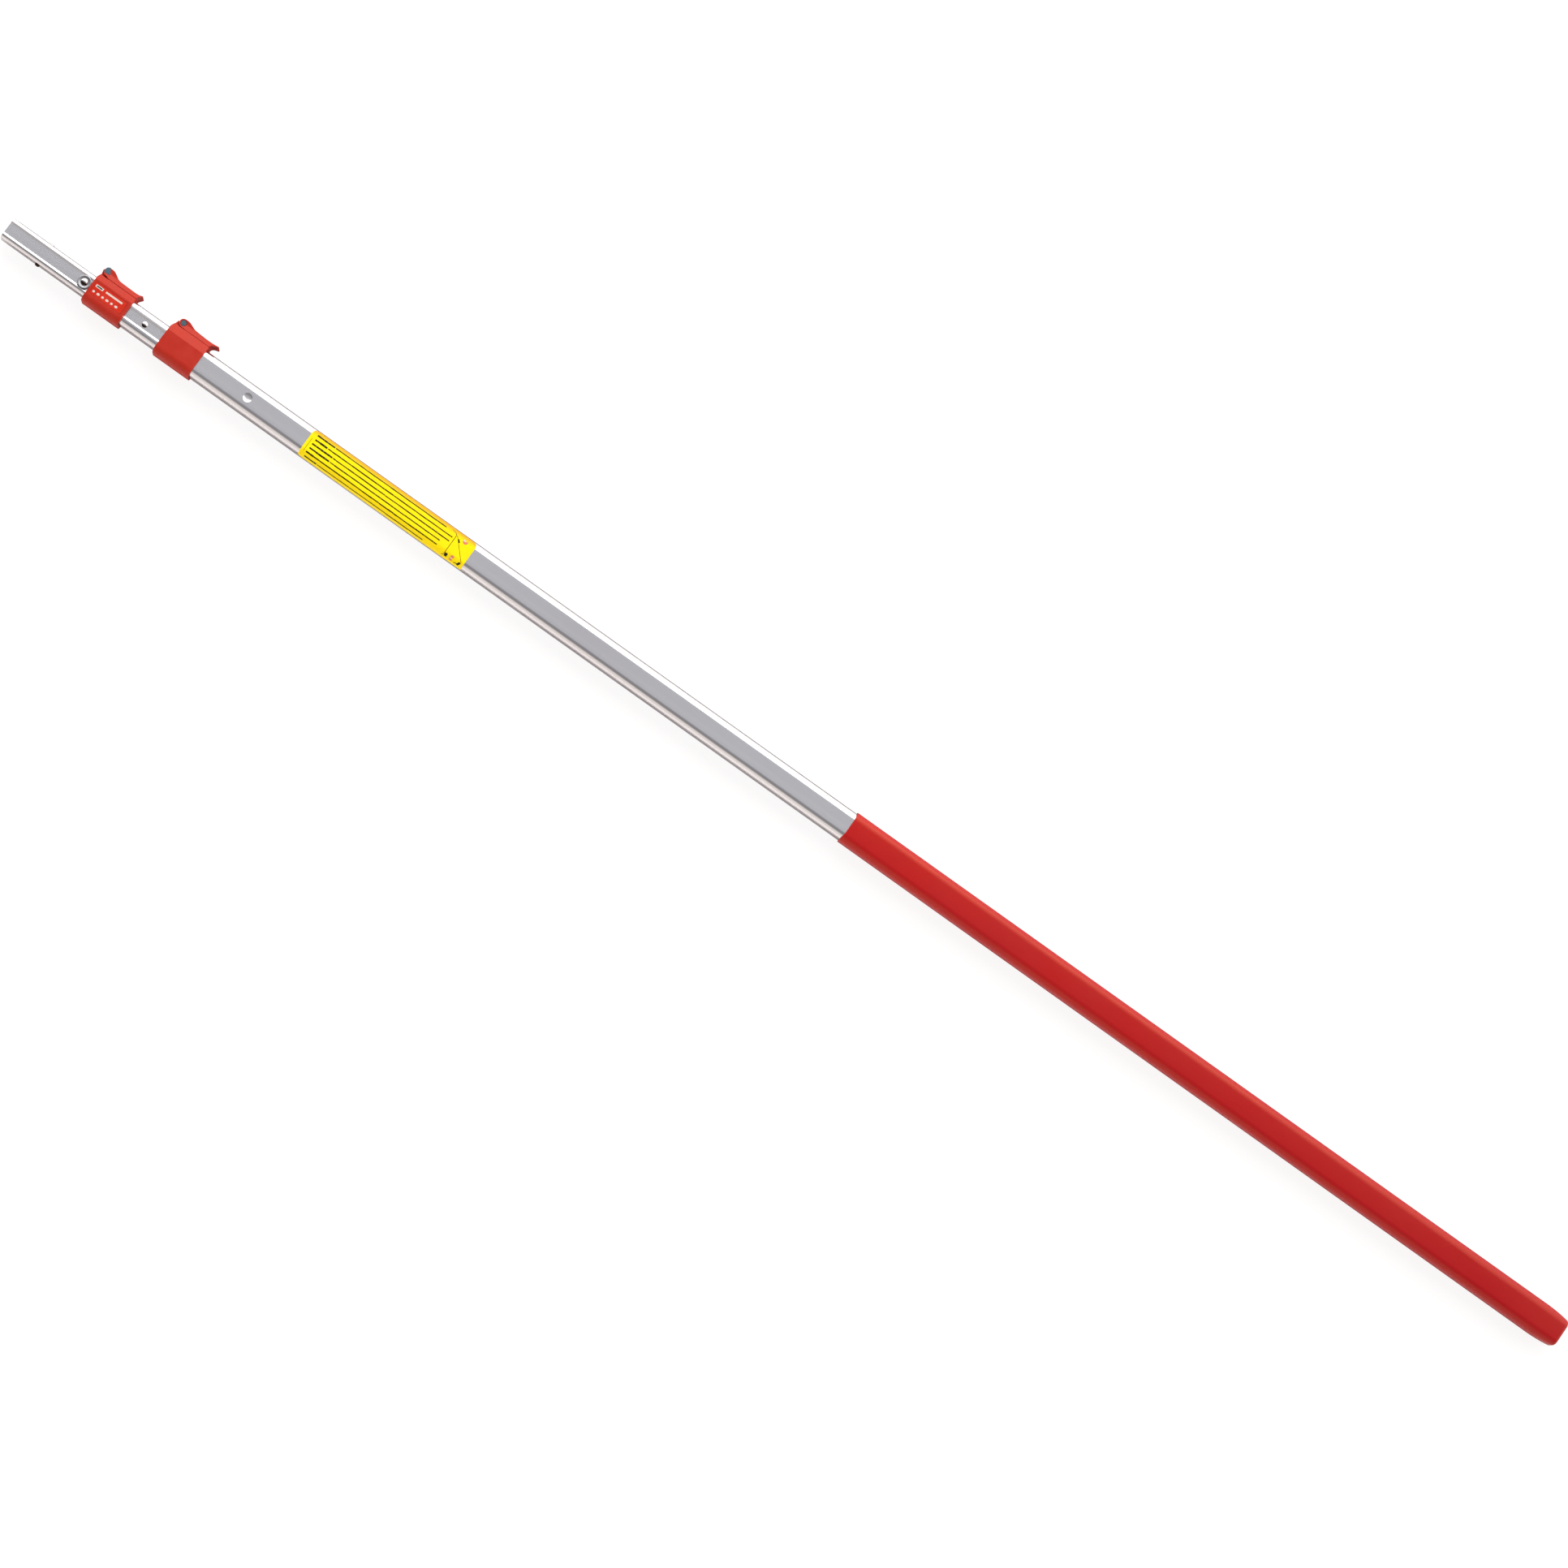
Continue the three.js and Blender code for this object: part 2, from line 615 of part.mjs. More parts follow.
/** The headed pin, held in the lever's cheeks, that turns in the collar's ears. */
function pin(lock) {
  const top = lock.leverHalf + PIN_PROUD;
  const seat = lock.headSeat + PIN_PROUD / 2;
  const body = solid(rodZ(PIN_RADIUS, lock.pinX, lock.pinY, -top + PIN_PROUD, top - PIN_PROUD));
  return body.add(pinHead(lock, seat, top, 0)).add(pinHead(lock, -top, -seat, 0));
}

/** Side view of a lever: knuckle, hump, dished flap, and the flared tab behind the collar. */
function leverShape(lock) {
  const shape = new THREE.Shape();
  const x = lock.pinX;
  const y = lock.pinY;
  const r = KNUCKLE_RADIUS;
  const rear = lock.rear;
  const foot = -lock.minusSide - FIT_GAP;
  const high = -lock.leverHeight;
  const dish = -lock.leverDish;
  const tipX = rear - lock.tailReach;
  const tipY = -lock.tailHeight;
  const thick = TAIL_THICKNESS;
  const fall = HUMP_LENGTH - HUMP_FLAT;
  shape.moveTo(x - r, foot);
  shape.lineTo(x, y + r);
  shape.absarc(x, y, r, Math.PI / 2, -Math.PI / 2, true);
  shape.lineTo(x - HUMP_FLAT, y - r);
  shape.bezierCurveTo(
    x - HUMP_FLAT - fall * 0.35, y - r, x - HUMP_LENGTH + fall * 0.38, dish, x - HUMP_LENGTH, dish);
  shape.lineTo(rear + FLAP_END, high);
  shape.bezierCurveTo(rear, high, (rear + tipX) / 2, tipY + thick / 2, tipX, tipY);
  shape.lineTo(tipX + thick / 2, tipY + thick);
  shape.bezierCurveTo(rear - thick, high + thick, rear, foot - 2 * thick, rear + thick / 2, foot);
  return shape;
}

/** The open space under the lever's skin, round the pin and in front of it. */
function underHood(lock) {
  const x = lock.pinX;
  const y = lock.pinY;
  const end = THREE.MathUtils.degToRad(HOOD_TURN);
  const space = EAR_RADIUS + HOOD_GAP;
  const far = 3 * KNUCKLE_RADIUS;
  const shape = new THREE.Shape();
  shape.moveTo(x + far, y + far);
  shape.lineTo(x - space, y + far);
  shape.absarc(x, y, space, Math.PI, end, false);
  shape.lineTo(x + far * Math.cos(end), y + far * Math.sin(end));
  shape.lineTo(x + far, y - far);
  return solid(alongZ(shape, -lock.cheekInner, lock.cheekInner));
}

function lever(lock) {
  const far = lock.beyond;
  const profile = solid(alongZ(leverShape(lock), -lock.halfDepth, lock.halfDepth));
  const envelope = solid(alongX(lockSection(lock, far), lock.rear - 2 * lock.tailReach, lock.front + 1));
  const under = -lock.leverHeight + lock.leverWall;
  const hollow = box(lock.rear + lock.leverWall, lock.pinX, under, 0, -lock.cheekInner, lock.cheekInner);
  let body = profile.intersect(envelope);
  body = body.subtract(solid(hollow));
  body = body.subtract(underHood(lock));
  body = body.subtract(camBarrel(lock, FIT_GAP));
  body = body.subtract(solid(rodZ(PIN_RADIUS + FIT_GAP, lock.pinX, lock.pinY, -far, far)));
  body = body.subtract(pinHead(lock, lock.headSeat, far, FIT_GAP));
  return body.subtract(pinHead(lock, -far, -lock.headSeat, FIT_GAP));
}

const LOCKS = [
  layout(LOWER, OUTER, MIDDLE),
  layout(UPPER, MIDDLE, INNER),
];

// ---------------------------------------------------------------- stop rivets and washer

/** The rivet on the middle tube's face, whose tail rides in the inner tube's groove. */
function middleStopRivet() {
  const seat = faceHeight(MIDDLE) + RIVET_SEAT;
  const end = INNER.depth / 2 - KEEPER_REACH;
  const profile = rivetProfile(RIVET_SHANK, seat - end, MIDDLE_RIVET_HEAD, RIVET_HEIGHT);
  return solid(turned(profile, TIP - MIDDLE_RIVET_FROM_TIP, 0, seat));
}

const WASHER_BOTTOM = INNER.depth / 2 + WASHER_LIFT;

/** The dished washer that keeps the inner tube from sliding right in. */
function innerStopWasher() {
  const hole = RIVET_SHANK + FIT_GAP;
  const dish = INNER_RIVET_HEAD + FIT_GAP;
  const edge = WASHER_RADIUS - WASHER_RIM;
  const top = WASHER_THICKNESS;
  const profile = [[hole, -WASHER_DISH], [dish, -WASHER_DISH], [edge, 0], [WASHER_RADIUS, 0]];
  profile.push([WASHER_RADIUS, top / 2], [edge, top], [dish, top - WASHER_DISH]);
  profile.push([hole, top - WASHER_DISH], [hole, -WASHER_DISH]);
  return solid(turned(profile, TIP - INNER_RIVET_FROM_TIP, 0, WASHER_BOTTOM, 24));
}

/** The rivet through that washer and the inner tube's face. */
function innerStopRivet() {
  const seat = WASHER_BOTTOM + WASHER_THICKNESS - WASHER_DISH + RIVET_SEAT;
  const length = seat - faceHeight(INNER) + TUBE_WALL + 1;
  const profile = rivetProfile(RIVET_SHANK, length, INNER_RIVET_HEAD, INNER_RIVET_HEIGHT);
  return solid(turned(profile, TIP - INNER_RIVET_FROM_TIP, 0, seat));
}

// ---------------------------------------------------------------- snap buttons and their spring

const BORE_HALF = INNER.width / 2 - TUBE_WALL;
const FOOT_TOP = BORE_HALF - FIT_GAP;
const SPRING_END = FOOT_TOP - BUTTON_FOOT;

/** One snap button, with a foot inside the tube; side is +1 or -1. */
function snapButton(side) {
  const tip = INNER.width / 2 + BUTTON_PROUD;
  const foot = SPRING_END + FIT_GAP;
  const profile = [[0, foot], [BUTTON_FLANGE, foot], [BUTTON_FLANGE, FOOT_TOP], [BUTTON_RADIUS, FOOT_TOP]];
  for (let step = 0; step < 4; step += 1) {
    const angle = (step / 4) * (Math.PI / 2);
    const height = tip - (BUTTON_RADIUS / 2) * (1 - Math.sin(angle));
    profile.push([BUTTON_RADIUS * Math.cos(angle), height]);
  }
  profile.push([0, tip]);
  const geometry = turned(profile, 0, 0, 0).rotateX(side > 0 ? -Math.PI / 2 : Math.PI / 2);
  return solid(geometry.translate(TIP - BUTTON_FROM_TIP, 0, 0));
}

/** The V of flat steel that pushes the buttons out. */
function snapSpring() {
  const end = TIP - BUTTON_FROM_TIP + BUTTON_FLANGE;
  const bend = end - 2 * BUTTON_FLANGE;
  const fold = TIP - BUTTON_FROM_TIP - SPRING_REACH;
  const lean = fold + 0.2 * SPRING_REACH;
  const out = SPRING_END;
  const back = SPRING_FOLD;
  const t = SPRING_THICKNESS;
  const shape = new THREE.Shape();
  shape.moveTo(end, out);
  shape.lineTo(bend, out);
  shape.quadraticCurveTo(lean, back + 1, fold, back);
  shape.absarc(fold, 0, back, Math.PI / 2, 1.5 * Math.PI, false);
  shape.quadraticCurveTo(lean, -back - 1, bend, -out);
  shape.lineTo(end, -out);
  shape.lineTo(end, -out + t);
  shape.lineTo(bend, -out + t);
  shape.quadraticCurveTo(lean, -back - 1 + t, fold, -back + t);
  shape.absarc(fold, 0, back - t, 1.5 * Math.PI, Math.PI / 2, true);
  shape.quadraticCurveTo(lean, back + 1 - t, bend, out - t);
  shape.lineTo(end, out - t);
  return solid(alongZ(shape, -SPRING_WIDTH / 2, SPRING_WIDTH / 2));
}

// ---------------------------------------------------------------- assembly

add('outer_tube', outerTube(), ...ALUMINIUM);
add('middle_tube', middleTube(), ...ALUMINIUM);
add('inner_tube', innerTube(), ...ALUMINIUM);
add('grip_sleeve', gripSleeve(), ...SLEEVE_RED);
add('butt_plug', buttPlug(), ...BLACK);
add('label', label(), ...YELLOW);

for (const lock of LOCKS) {
  add(`${lock.name}_collar`, collar(lock), ...RED);
  add(`${lock.name}_lever`, lever(lock), ...RED);
  add(`${lock.name}_lever_pin`, pin(lock), ...BLUE_GREY);
  add(`${lock.name}_cam`, cam(lock), ...BLUE_GREY);
  add(`${lock.name}_brake_shoe`, shoe(lock), ...BLACK);
  add(`${lock.name}_guide_bush`, bush(lock), ...NYLON);
  screwPlaces(lock).forEach((place, index) => {
    add(`${lock.name}_collar_screw_${index + 1}`, solid(screwShape(lock, place, 0)), ...STEEL);
  });
}
add('upper_collar_plate', collarPlate(LOCKS[1]), ...RED);

add('middle_tail_plug', tailPlug(MIDDLE, MIDDLE_TAIL), ...NYLON);
add('middle_tail_rivet', tailRivet(MIDDLE, MIDDLE_TAIL), ...STEEL);
add('inner_tail_plug', tailPlug(INNER, INNER_TAIL), ...NYLON);
add('inner_tail_rivet', tailRivet(INNER, INNER_TAIL), ...STEEL);
add('middle_stop_rivet', middleStopRivet(), ...STEEL);
add('inner_stop_washer', innerStopWasher(), ...STEEL);
add('inner_stop_rivet', innerStopRivet(), ...STEEL);
add('snap_button_near', snapButton(1), ...STEEL);
add('snap_button_far', snapButton(-1), ...STEEL);
add('snap_spring', snapSpring(), ...STEEL);

const bounds = new THREE.Box3().setFromObject(pole);
const centre = bounds.getCenter(new THREE.Vector3());
pole.position.set(-centre.x, -centre.y, -bounds.min.z);

export default pole;
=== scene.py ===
# %% [markdown]
# # A three-stage telescopic pole
# The real tool is three aluminium tubes that slide inside each other, two red lever locks that
# clamp them, a red vinyl grip sleeve and a yellow label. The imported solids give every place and
# size. This lesson rebuilds what is seen with finer shapes and finishes, piece by piece.

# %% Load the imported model
import math
import random

import bmesh
import bpy
from mathutils import Matrix, Vector


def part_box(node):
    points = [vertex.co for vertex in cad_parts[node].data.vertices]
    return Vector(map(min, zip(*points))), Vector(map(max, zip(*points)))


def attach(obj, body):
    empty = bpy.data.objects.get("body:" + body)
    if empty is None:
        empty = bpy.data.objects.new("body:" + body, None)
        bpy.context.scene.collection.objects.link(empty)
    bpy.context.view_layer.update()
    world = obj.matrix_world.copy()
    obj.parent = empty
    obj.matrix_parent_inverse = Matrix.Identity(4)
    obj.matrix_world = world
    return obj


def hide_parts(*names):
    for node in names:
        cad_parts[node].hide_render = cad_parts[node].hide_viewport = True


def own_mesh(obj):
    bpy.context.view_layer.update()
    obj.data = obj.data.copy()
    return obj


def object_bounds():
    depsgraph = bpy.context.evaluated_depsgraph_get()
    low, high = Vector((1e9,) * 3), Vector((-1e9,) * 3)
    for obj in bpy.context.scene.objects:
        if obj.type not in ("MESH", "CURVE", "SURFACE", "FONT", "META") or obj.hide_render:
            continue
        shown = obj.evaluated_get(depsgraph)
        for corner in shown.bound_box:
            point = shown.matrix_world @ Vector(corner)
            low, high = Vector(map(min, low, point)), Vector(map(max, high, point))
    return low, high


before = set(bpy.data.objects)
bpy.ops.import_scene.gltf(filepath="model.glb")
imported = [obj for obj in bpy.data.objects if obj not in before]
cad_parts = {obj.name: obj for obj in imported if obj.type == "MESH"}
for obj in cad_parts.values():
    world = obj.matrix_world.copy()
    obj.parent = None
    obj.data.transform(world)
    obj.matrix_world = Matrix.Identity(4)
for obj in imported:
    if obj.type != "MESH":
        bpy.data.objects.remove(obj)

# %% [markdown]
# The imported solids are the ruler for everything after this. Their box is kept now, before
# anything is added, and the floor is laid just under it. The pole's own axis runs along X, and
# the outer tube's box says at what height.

MM = 0.001
cad_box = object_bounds()
outer_low, outer_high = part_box("outer_tube")
AXIS_Y = (outer_low.y + outer_high.y) / 2
AXIS_Z = (outer_low.z + outer_high.z) / 2
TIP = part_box("inner_tube")[1].x
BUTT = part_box("grip_sleeve")[0].x
print("axis at y %.5f z %.5f, from %.3f to %.3f m" % (AXIS_Y, AXIS_Z, BUTT, TIP))


def from_axis(x, y, z):
    """A point given along the pole and off its axis, in millimetres, in metres in the shared frame."""
    return Vector((x * MM, AXIS_Y + y * MM, AXIS_Z + z * MM))


# %% [markdown]
# ## Camera
# A pole two metres long is best seen from straight above, turned so that it crosses the picture
# from corner to corner. A long lens five metres up keeps it straight, and still shows a little
# of the sides near the two ends. The camera leans nine degrees over the pole, away from the
# levers, which shows more of the side without them.

# %% Place the camera
VIEW_TURN = math.radians(35.46)   # the pole's slope in the picture
VIEW_LEAN = math.radians(-9)      # about the pole
VIEW_DISTANCE = 5.0
VIEW_WIDTH = 1.7037               # metres across the picture, at the pole
VIEW_DROP = 0.0022                # the pole lies this far above the picture's middle
SENSOR = 36.0

right = Vector((-math.cos(VIEW_TURN), -math.sin(VIEW_TURN), 0))
up = Vector((math.sin(VIEW_TURN), -math.cos(VIEW_TURN), 0))
lean = Matrix.Rotation(VIEW_LEAN, 3, "X")
axes = [lean @ right, lean @ up, lean @ Vector((0, 0, 1))]
target = Vector((0, AXIS_Y, AXIS_Z)) - axes[1] * VIEW_DROP

camera = bpy.data.objects.new("camera", bpy.data.cameras.new("camera"))
bpy.context.scene.collection.objects.link(camera)
camera.data.sensor_width = SENSOR
camera.data.lens = SENSOR * VIEW_DISTANCE / VIEW_WIDTH
camera.matrix_world = Matrix.Translation(target + axes[2] * VIEW_DISTANCE) @ Matrix(
    [[a[row] for a in axes] for row in range(3)]).to_4x4()
camera.data.clip_end = 100
bpy.context.scene.camera = camera
print("lens %.1f mm" % camera.data.lens)

# %% [markdown]
# ## Node helpers
# The sky, the finishes and the geometry trees are all graphs of nodes. They could be drawn by
# hand in the editor, but a script can be read and changed in one place. Three small helpers
# make a node, join sockets and fill a colour ramp, so that each graph below reads as a list.


# %% Make and join nodes
def add_node(tree, kind, **settings):
    """Makes a node and sets its properties, and its inputs given by name in a dict."""
    made = tree.nodes.new(kind)
    for socket, value in settings.pop("inputs", {}).items():
        made.inputs[socket].default_value = value
    for key, value in settings.items():
        setattr(made, key, value)
    return made


def wire(tree, *pairs):
    """Links each output socket to each input socket."""
    for start, end in pairs:
        tree.links.new(start, end)


def ramp(tree, stops):
    """A colour ramp with the given positions and colours."""
    made = tree.nodes.new("ShaderNodeValToRGB")
    elements = made.color_ramp.elements
    while len(elements) > 1:
        elements.remove(elements[-1])
    for index, (position, color) in enumerate(stops):
        element = elements[0] if index == 0 else elements.new(position)
        element.position = position
        element.color = (*color, 1)
    return made


print("3 node helpers")

# %% [markdown]
# ## Studio
# Polished metal shows its surroundings more than its own colour, so the studio is designed as
# bands round the pole: a broad white light on the lever side, a quiet grey overhead, a dark
# flag beyond it, and a warm reflector low on the other side. The sky shader turns a direction
# into an angle round the pole and looks its brightness up on a colour ramp. The camera itself
# sees a plain white backdrop.

# %% Paint the sky
SKY = [                            # degrees round the pole from overhead, towards the +Y side
    (-180, (0.9, 0.9, 0.9)),
    (-100, (1.6, 1.6, 1.6)),
    (-80, (2.6, 2.6, 2.62)),
    (-24, (2.6, 2.6, 2.62)),
    (-17, (0.46, 0.46, 0.49)),
    (-3, (0.43, 0.428, 0.455)),
    (10, (0.27, 0.26, 0.27)),
    (39, (0.26, 0.25, 0.255)),
    (53, (0.86, 0.79, 0.75)),
    (95, (0.94, 0.87, 0.82)),
    (180, (0.9, 0.9, 0.9)),
]
world = bpy.data.worlds.new("studio")
bpy.context.scene.world = world
world.use_nodes = True
sky = world.node_tree
sky.nodes.clear()
direction = add_node(sky, "ShaderNodeTexCoord")
parts = add_node(sky, "ShaderNodeSeparateXYZ")
angle = add_node(sky, "ShaderNodeMath", operation="ARCTAN2")
share = add_node(sky, "ShaderNodeMapRange")
share.inputs["From Min"].default_value = -math.pi
share.inputs["From Max"].default_value = math.pi
SKY_STRENGTH = 4.0                 # a ramp holds colours up to 1, so the bands are scaled down by this
BACKDROP_STRENGTH = 1.05
bands = ramp(sky, [((a + 180) / 360, tuple(c / SKY_STRENGTH for c in color)) for a, color in SKY])
light = add_node(sky, "ShaderNodeBackground", inputs={"Strength": SKY_STRENGTH})
plain = add_node(sky, "ShaderNodeBackground", inputs={"Color": (1, 1, 1, 1), "Strength": BACKDROP_STRENGTH})
seen_by = add_node(sky, "ShaderNodeLightPath")
backdrop = add_node(sky, "ShaderNodeMixShader")
out = add_node(sky, "ShaderNodeOutputWorld")
wire(sky, (direction.outputs["Generated"], parts.inputs[0]), (parts.outputs["Y"], angle.inputs[0]),
     (parts.outputs["Z"], angle.inputs[1]), (angle.outputs[0], share.inputs["Value"]),
     (share.outputs[0], bands.inputs[0]), (bands.outputs[0], light.inputs["Color"]),
     (seen_by.outputs["Is Camera Ray"], backdrop.inputs["Fac"]), (light.outputs[0], backdrop.inputs[1]),
     (plain.outputs[0], backdrop.inputs[2]), (backdrop.outputs[0], out.inputs["Surface"]))

bpy.context.scene.view_settings.view_transform = "Standard"
print(len(SKY), "bands of sky")

# %% [markdown]
# ## Lamps
# The sky alone would light the plastics flatly. A large lamp on the lever side gives the collars
# and the sleeve their brighter upper edge, and a second one opens up the shadows on the far side.
# The second is hidden from reflections, so that the tubes keep the bands of the sky.


# %% Hang the lamps
def soft_light(name, place, size, power):
    """A large square lamp that points at the middle of the pole."""
    data = bpy.data.lights.new(name, "AREA")
    data.shape = "RECTANGLE"
    data.size, data.size_y = size
    data.energy = power
    lamp = bpy.data.objects.new(name, data)
    bpy.context.scene.collection.objects.link(lamp)
    lamp.location = place
    lamp.rotation_euler = (Vector((0, AXIS_Y, AXIS_Z)) - lamp.location).to_track_quat("-Z", "Y").to_euler()
    return lamp


soft_light("lever_side_light", Vector((0.4, -2.6, 1.7)), (3.4, 1.2), 26)
fill = soft_light("far_side_fill", Vector((-0.3, 2.6, 0.9)), (3.4, 1.0), 34)
fill.visible_glossy = False        # it opens up the colours, and leaves the metal's bands alone
print(len(bpy.data.lights), "lamps")

# %% [markdown]
# ## Floor
# The floor is one plain, pale sheet just under the pole. To the camera it is mostly lit from
# below, as a light table is, which keeps the shadow of a thin object faint. Seen in the metal's
# reflections it is warm matt paper, which gives the lower side of the tubes their beige.

# %% Lay the floor
FLOOR_REACH = 30.0                 # metres each way
FLOOR_GAP = 0.0004
floor_z = cad_box[0].z - FLOOR_GAP


def new_object(name, mesh):
    """A new object in the scene."""
    made = bpy.data.objects.new(name, mesh)
    bpy.context.scene.collection.objects.link(made)
    return made


def flat_sheet(name, x0, x1, y0, y1, z):
    """One flat rectangle, facing up."""
    mesh = bpy.data.meshes.new(name)
    mesh.from_pydata([(x0, y0, z), (x1, y0, z), (x1, y1, z), (x0, y1, z)], [], [(0, 1, 2, 3)])
    return new_object(name, mesh)


floor = flat_sheet("floor", -FLOOR_REACH, FLOOR_REACH, -FLOOR_REACH, FLOOR_REACH, floor_z)
paper = bpy.data.materials.new("pale_paper")
paper.use_nodes = True
PAPER_GLOW = 0.8                   # share of the light table in what the camera sees
sheet_shader = paper.node_tree.nodes["Principled BSDF"]
sheet_shader.inputs["Base Color"].default_value = (0.84, 0.79, 0.76, 1)
sheet_shader.inputs["Roughness"].default_value = 0.9
sheet_shader.inputs["Specular IOR Level"].default_value = 0.1
glow = add_node(paper.node_tree, "ShaderNodeEmission", inputs={"Color": (1, 1, 1, 1), "Strength": 1.08})
seen = add_node(paper.node_tree, "ShaderNodeLightPath")
table = add_node(paper.node_tree, "ShaderNodeMath", operation="MULTIPLY")
table.inputs[1].default_value = PAPER_GLOW
both = add_node(paper.node_tree, "ShaderNodeMixShader")
wire(paper.node_tree, (seen.outputs["Is Camera Ray"], table.inputs[0]),
     (table.outputs[0], both.inputs["Fac"]), (sheet_shader.outputs[0], both.inputs[1]),
     (glow.outputs[0], both.inputs[2]),
     (both.outputs[0], paper.node_tree.nodes["Material Output"].inputs["Surface"]))
floor.data.materials.append(paper)
print("floor at z %.4f m" % floor_z)

# %% [markdown]
# ## Dark card
# A dark card lies beside the pole on the lever side. Neither the camera nor the light meets it,
# only reflections do. It draws the thin dark line along the tubes' far edge, which keeps their
# bright side apart from the white behind it.

# %% Lay the dark card
CARD_NEAR, CARD_FAR = 0.0165, 0.050   # metres from the pole's axis
card = flat_sheet("dark_card", BUTT, TIP, AXIS_Y - CARD_FAR, AXIS_Y - CARD_NEAR, floor_z + FLOOR_GAP / 2)
card_paper = bpy.data.materials.new("dark_card")
card_paper.use_nodes = True
card_shader = card_paper.node_tree.nodes["Principled BSDF"]
card_shader.inputs["Base Color"].default_value = (0.05, 0.05, 0.055, 1)
card_shader.inputs["Roughness"].default_value = 0.9
card.data.materials.append(card_paper)
for kind_of_ray in ("camera", "diffuse", "transmission", "volume_scatter", "shadow"):
    setattr(card, "visible_" + kind_of_ray, False)
print("card %.0f mm wide" % ((CARD_FAR - CARD_NEAR) / MM))

# %% [markdown]
# ## Patterns
# Two patterns are used by more than one finish: die lines drawn along extruded metal, and the
# pebble of a mould with softer patches where it is handled. Each is a node group, built once
# and placed in every finish with its own values. The patterns read Object coordinates, which
# are metres in the shared frame, so a scale of 400 is a grain about 2.5 mm across.


# %% Make an empty pattern
def shader_group(name, ins, outs):
    """A shader node group with the named inputs (name, kind, value) and outputs (name, kind)."""
    tree = bpy.data.node_groups.new(name, "ShaderNodeTree")
    for label, kind, value in ins:
        socket = tree.interface.new_socket(label, in_out="INPUT", socket_type=kind)
        if value is not None:
            socket.default_value = value
    for label, kind in outs:
        tree.interface.new_socket(label, in_out="OUTPUT", socket_type=kind)
    return tree, tree.nodes.new("NodeGroupInput"), tree.nodes.new("NodeGroupOutput")


FLOAT, VECTOR = "NodeSocketFloat", "NodeSocketVector"
print("patterns take a", VECTOR, "and give out", FLOAT)

# %% [markdown]
# ## Die lines
# Aluminium is pushed hot through a steel die, which scratches it along its whole length. Noise
# that is stretched a thousandfold along the pole gives such lines. A second, slow noise lets the
# metal's tone drift, as it does on a long bar.


# %% Draw the die lines
DIE_STRETCH = 0.0012


def make_die_lines():
    """Fine lines drawn along the metal by the die, and a slow drift between them."""
    tree, start, end = shader_group(
        "die_lines",
        [("Vector", VECTOR, None), ("Lines", FLOAT, 1500.0), ("Low", FLOAT, 0.2), ("High", FLOAT, 0.3)],
        [("Roughness", FLOAT), ("Height", FLOAT), ("Tone", FLOAT)])
    stretch = add_node(tree, "ShaderNodeMapping", inputs={"Scale": (DIE_STRETCH, 1, 1)})
    lines = add_node(tree, "ShaderNodeTexNoise", inputs={"Detail": 3.0})
    drift = add_node(tree, "ShaderNodeTexNoise", inputs={"Scale": 6.0, "Detail": 2.0})
    rough = add_node(tree, "ShaderNodeMapRange", inputs={"From Min": 0.3, "From Max": 0.7})
    wire(tree, (start.outputs["Vector"], stretch.inputs["Vector"]),
         (stretch.outputs[0], lines.inputs["Vector"]), (start.outputs["Lines"], lines.inputs["Scale"]),
         (start.outputs["Vector"], drift.inputs["Vector"]),
         (lines.outputs["Fac"], rough.inputs["Value"]), (start.outputs["Low"], rough.inputs["To Min"]),
         (start.outputs["High"], rough.inputs["To Max"]), (rough.outputs[0], end.inputs["Roughness"]),
         (lines.outputs["Fac"], end.inputs["Height"]), (drift.outputs["Fac"], end.inputs["Tone"]))
    return tree


DIE_LINES = make_die_lines()
print("die lines:", len(DIE_LINES.nodes), "nodes")

# %% [markdown]
# ## Mould grain
# A mould's walls are sparked or sanded, and plastic copies them as a fine pebble. Two noises do
# it: a fine one for the relief, and a coarse one for patches that are smoother than the rest.


# %% Grow the mould grain
def make_mould_grain():
    """The pebble that a mould's walls leave on plastic, with softer patches where it is handled."""
    tree, start, end = shader_group(
        "mould_grain",
        [("Vector", VECTOR, None), ("Grain", FLOAT, 1200.0), ("Patches", FLOAT, 30.0),
         ("Low", FLOAT, 0.35), ("High", FLOAT, 0.5)],
        [("Roughness", FLOAT), ("Height", FLOAT), ("Patch", FLOAT)])
    pebble = add_node(tree, "ShaderNodeTexNoise", inputs={"Detail": 2.0})
    patch = add_node(tree, "ShaderNodeTexNoise", inputs={"Detail": 3.0})
    rough = add_node(tree, "ShaderNodeMapRange", inputs={"From Min": 0.35, "From Max": 0.65})
    wire(tree, (start.outputs["Vector"], pebble.inputs["Vector"]),
         (start.outputs["Grain"], pebble.inputs["Scale"]), (start.outputs["Vector"], patch.inputs["Vector"]),
         (start.outputs["Patches"], patch.inputs["Scale"]),
         (patch.outputs["Fac"], rough.inputs["Value"]), (start.outputs["Low"], rough.inputs["To Min"]),
         (start.outputs["High"], rough.inputs["To Max"]), (rough.outputs[0], end.inputs["Roughness"]),
         (pebble.outputs["Fac"], end.inputs["Height"]), (patch.outputs["Fac"], end.inputs["Patch"]))
    return tree


MOULD_GRAIN = make_mould_grain()
print("mould grain:", len(MOULD_GRAIN.nodes), "nodes")

# %% [markdown]
# ## Finishes
# Every finish is one Principled shader with its own plain numbers, and one of the two patterns
# that varies its roughness, its relief and its tone over the surface. One function makes them
# all, so a finish is only a short list of numbers. A second function mixes another colour in
# between two places along an axis.


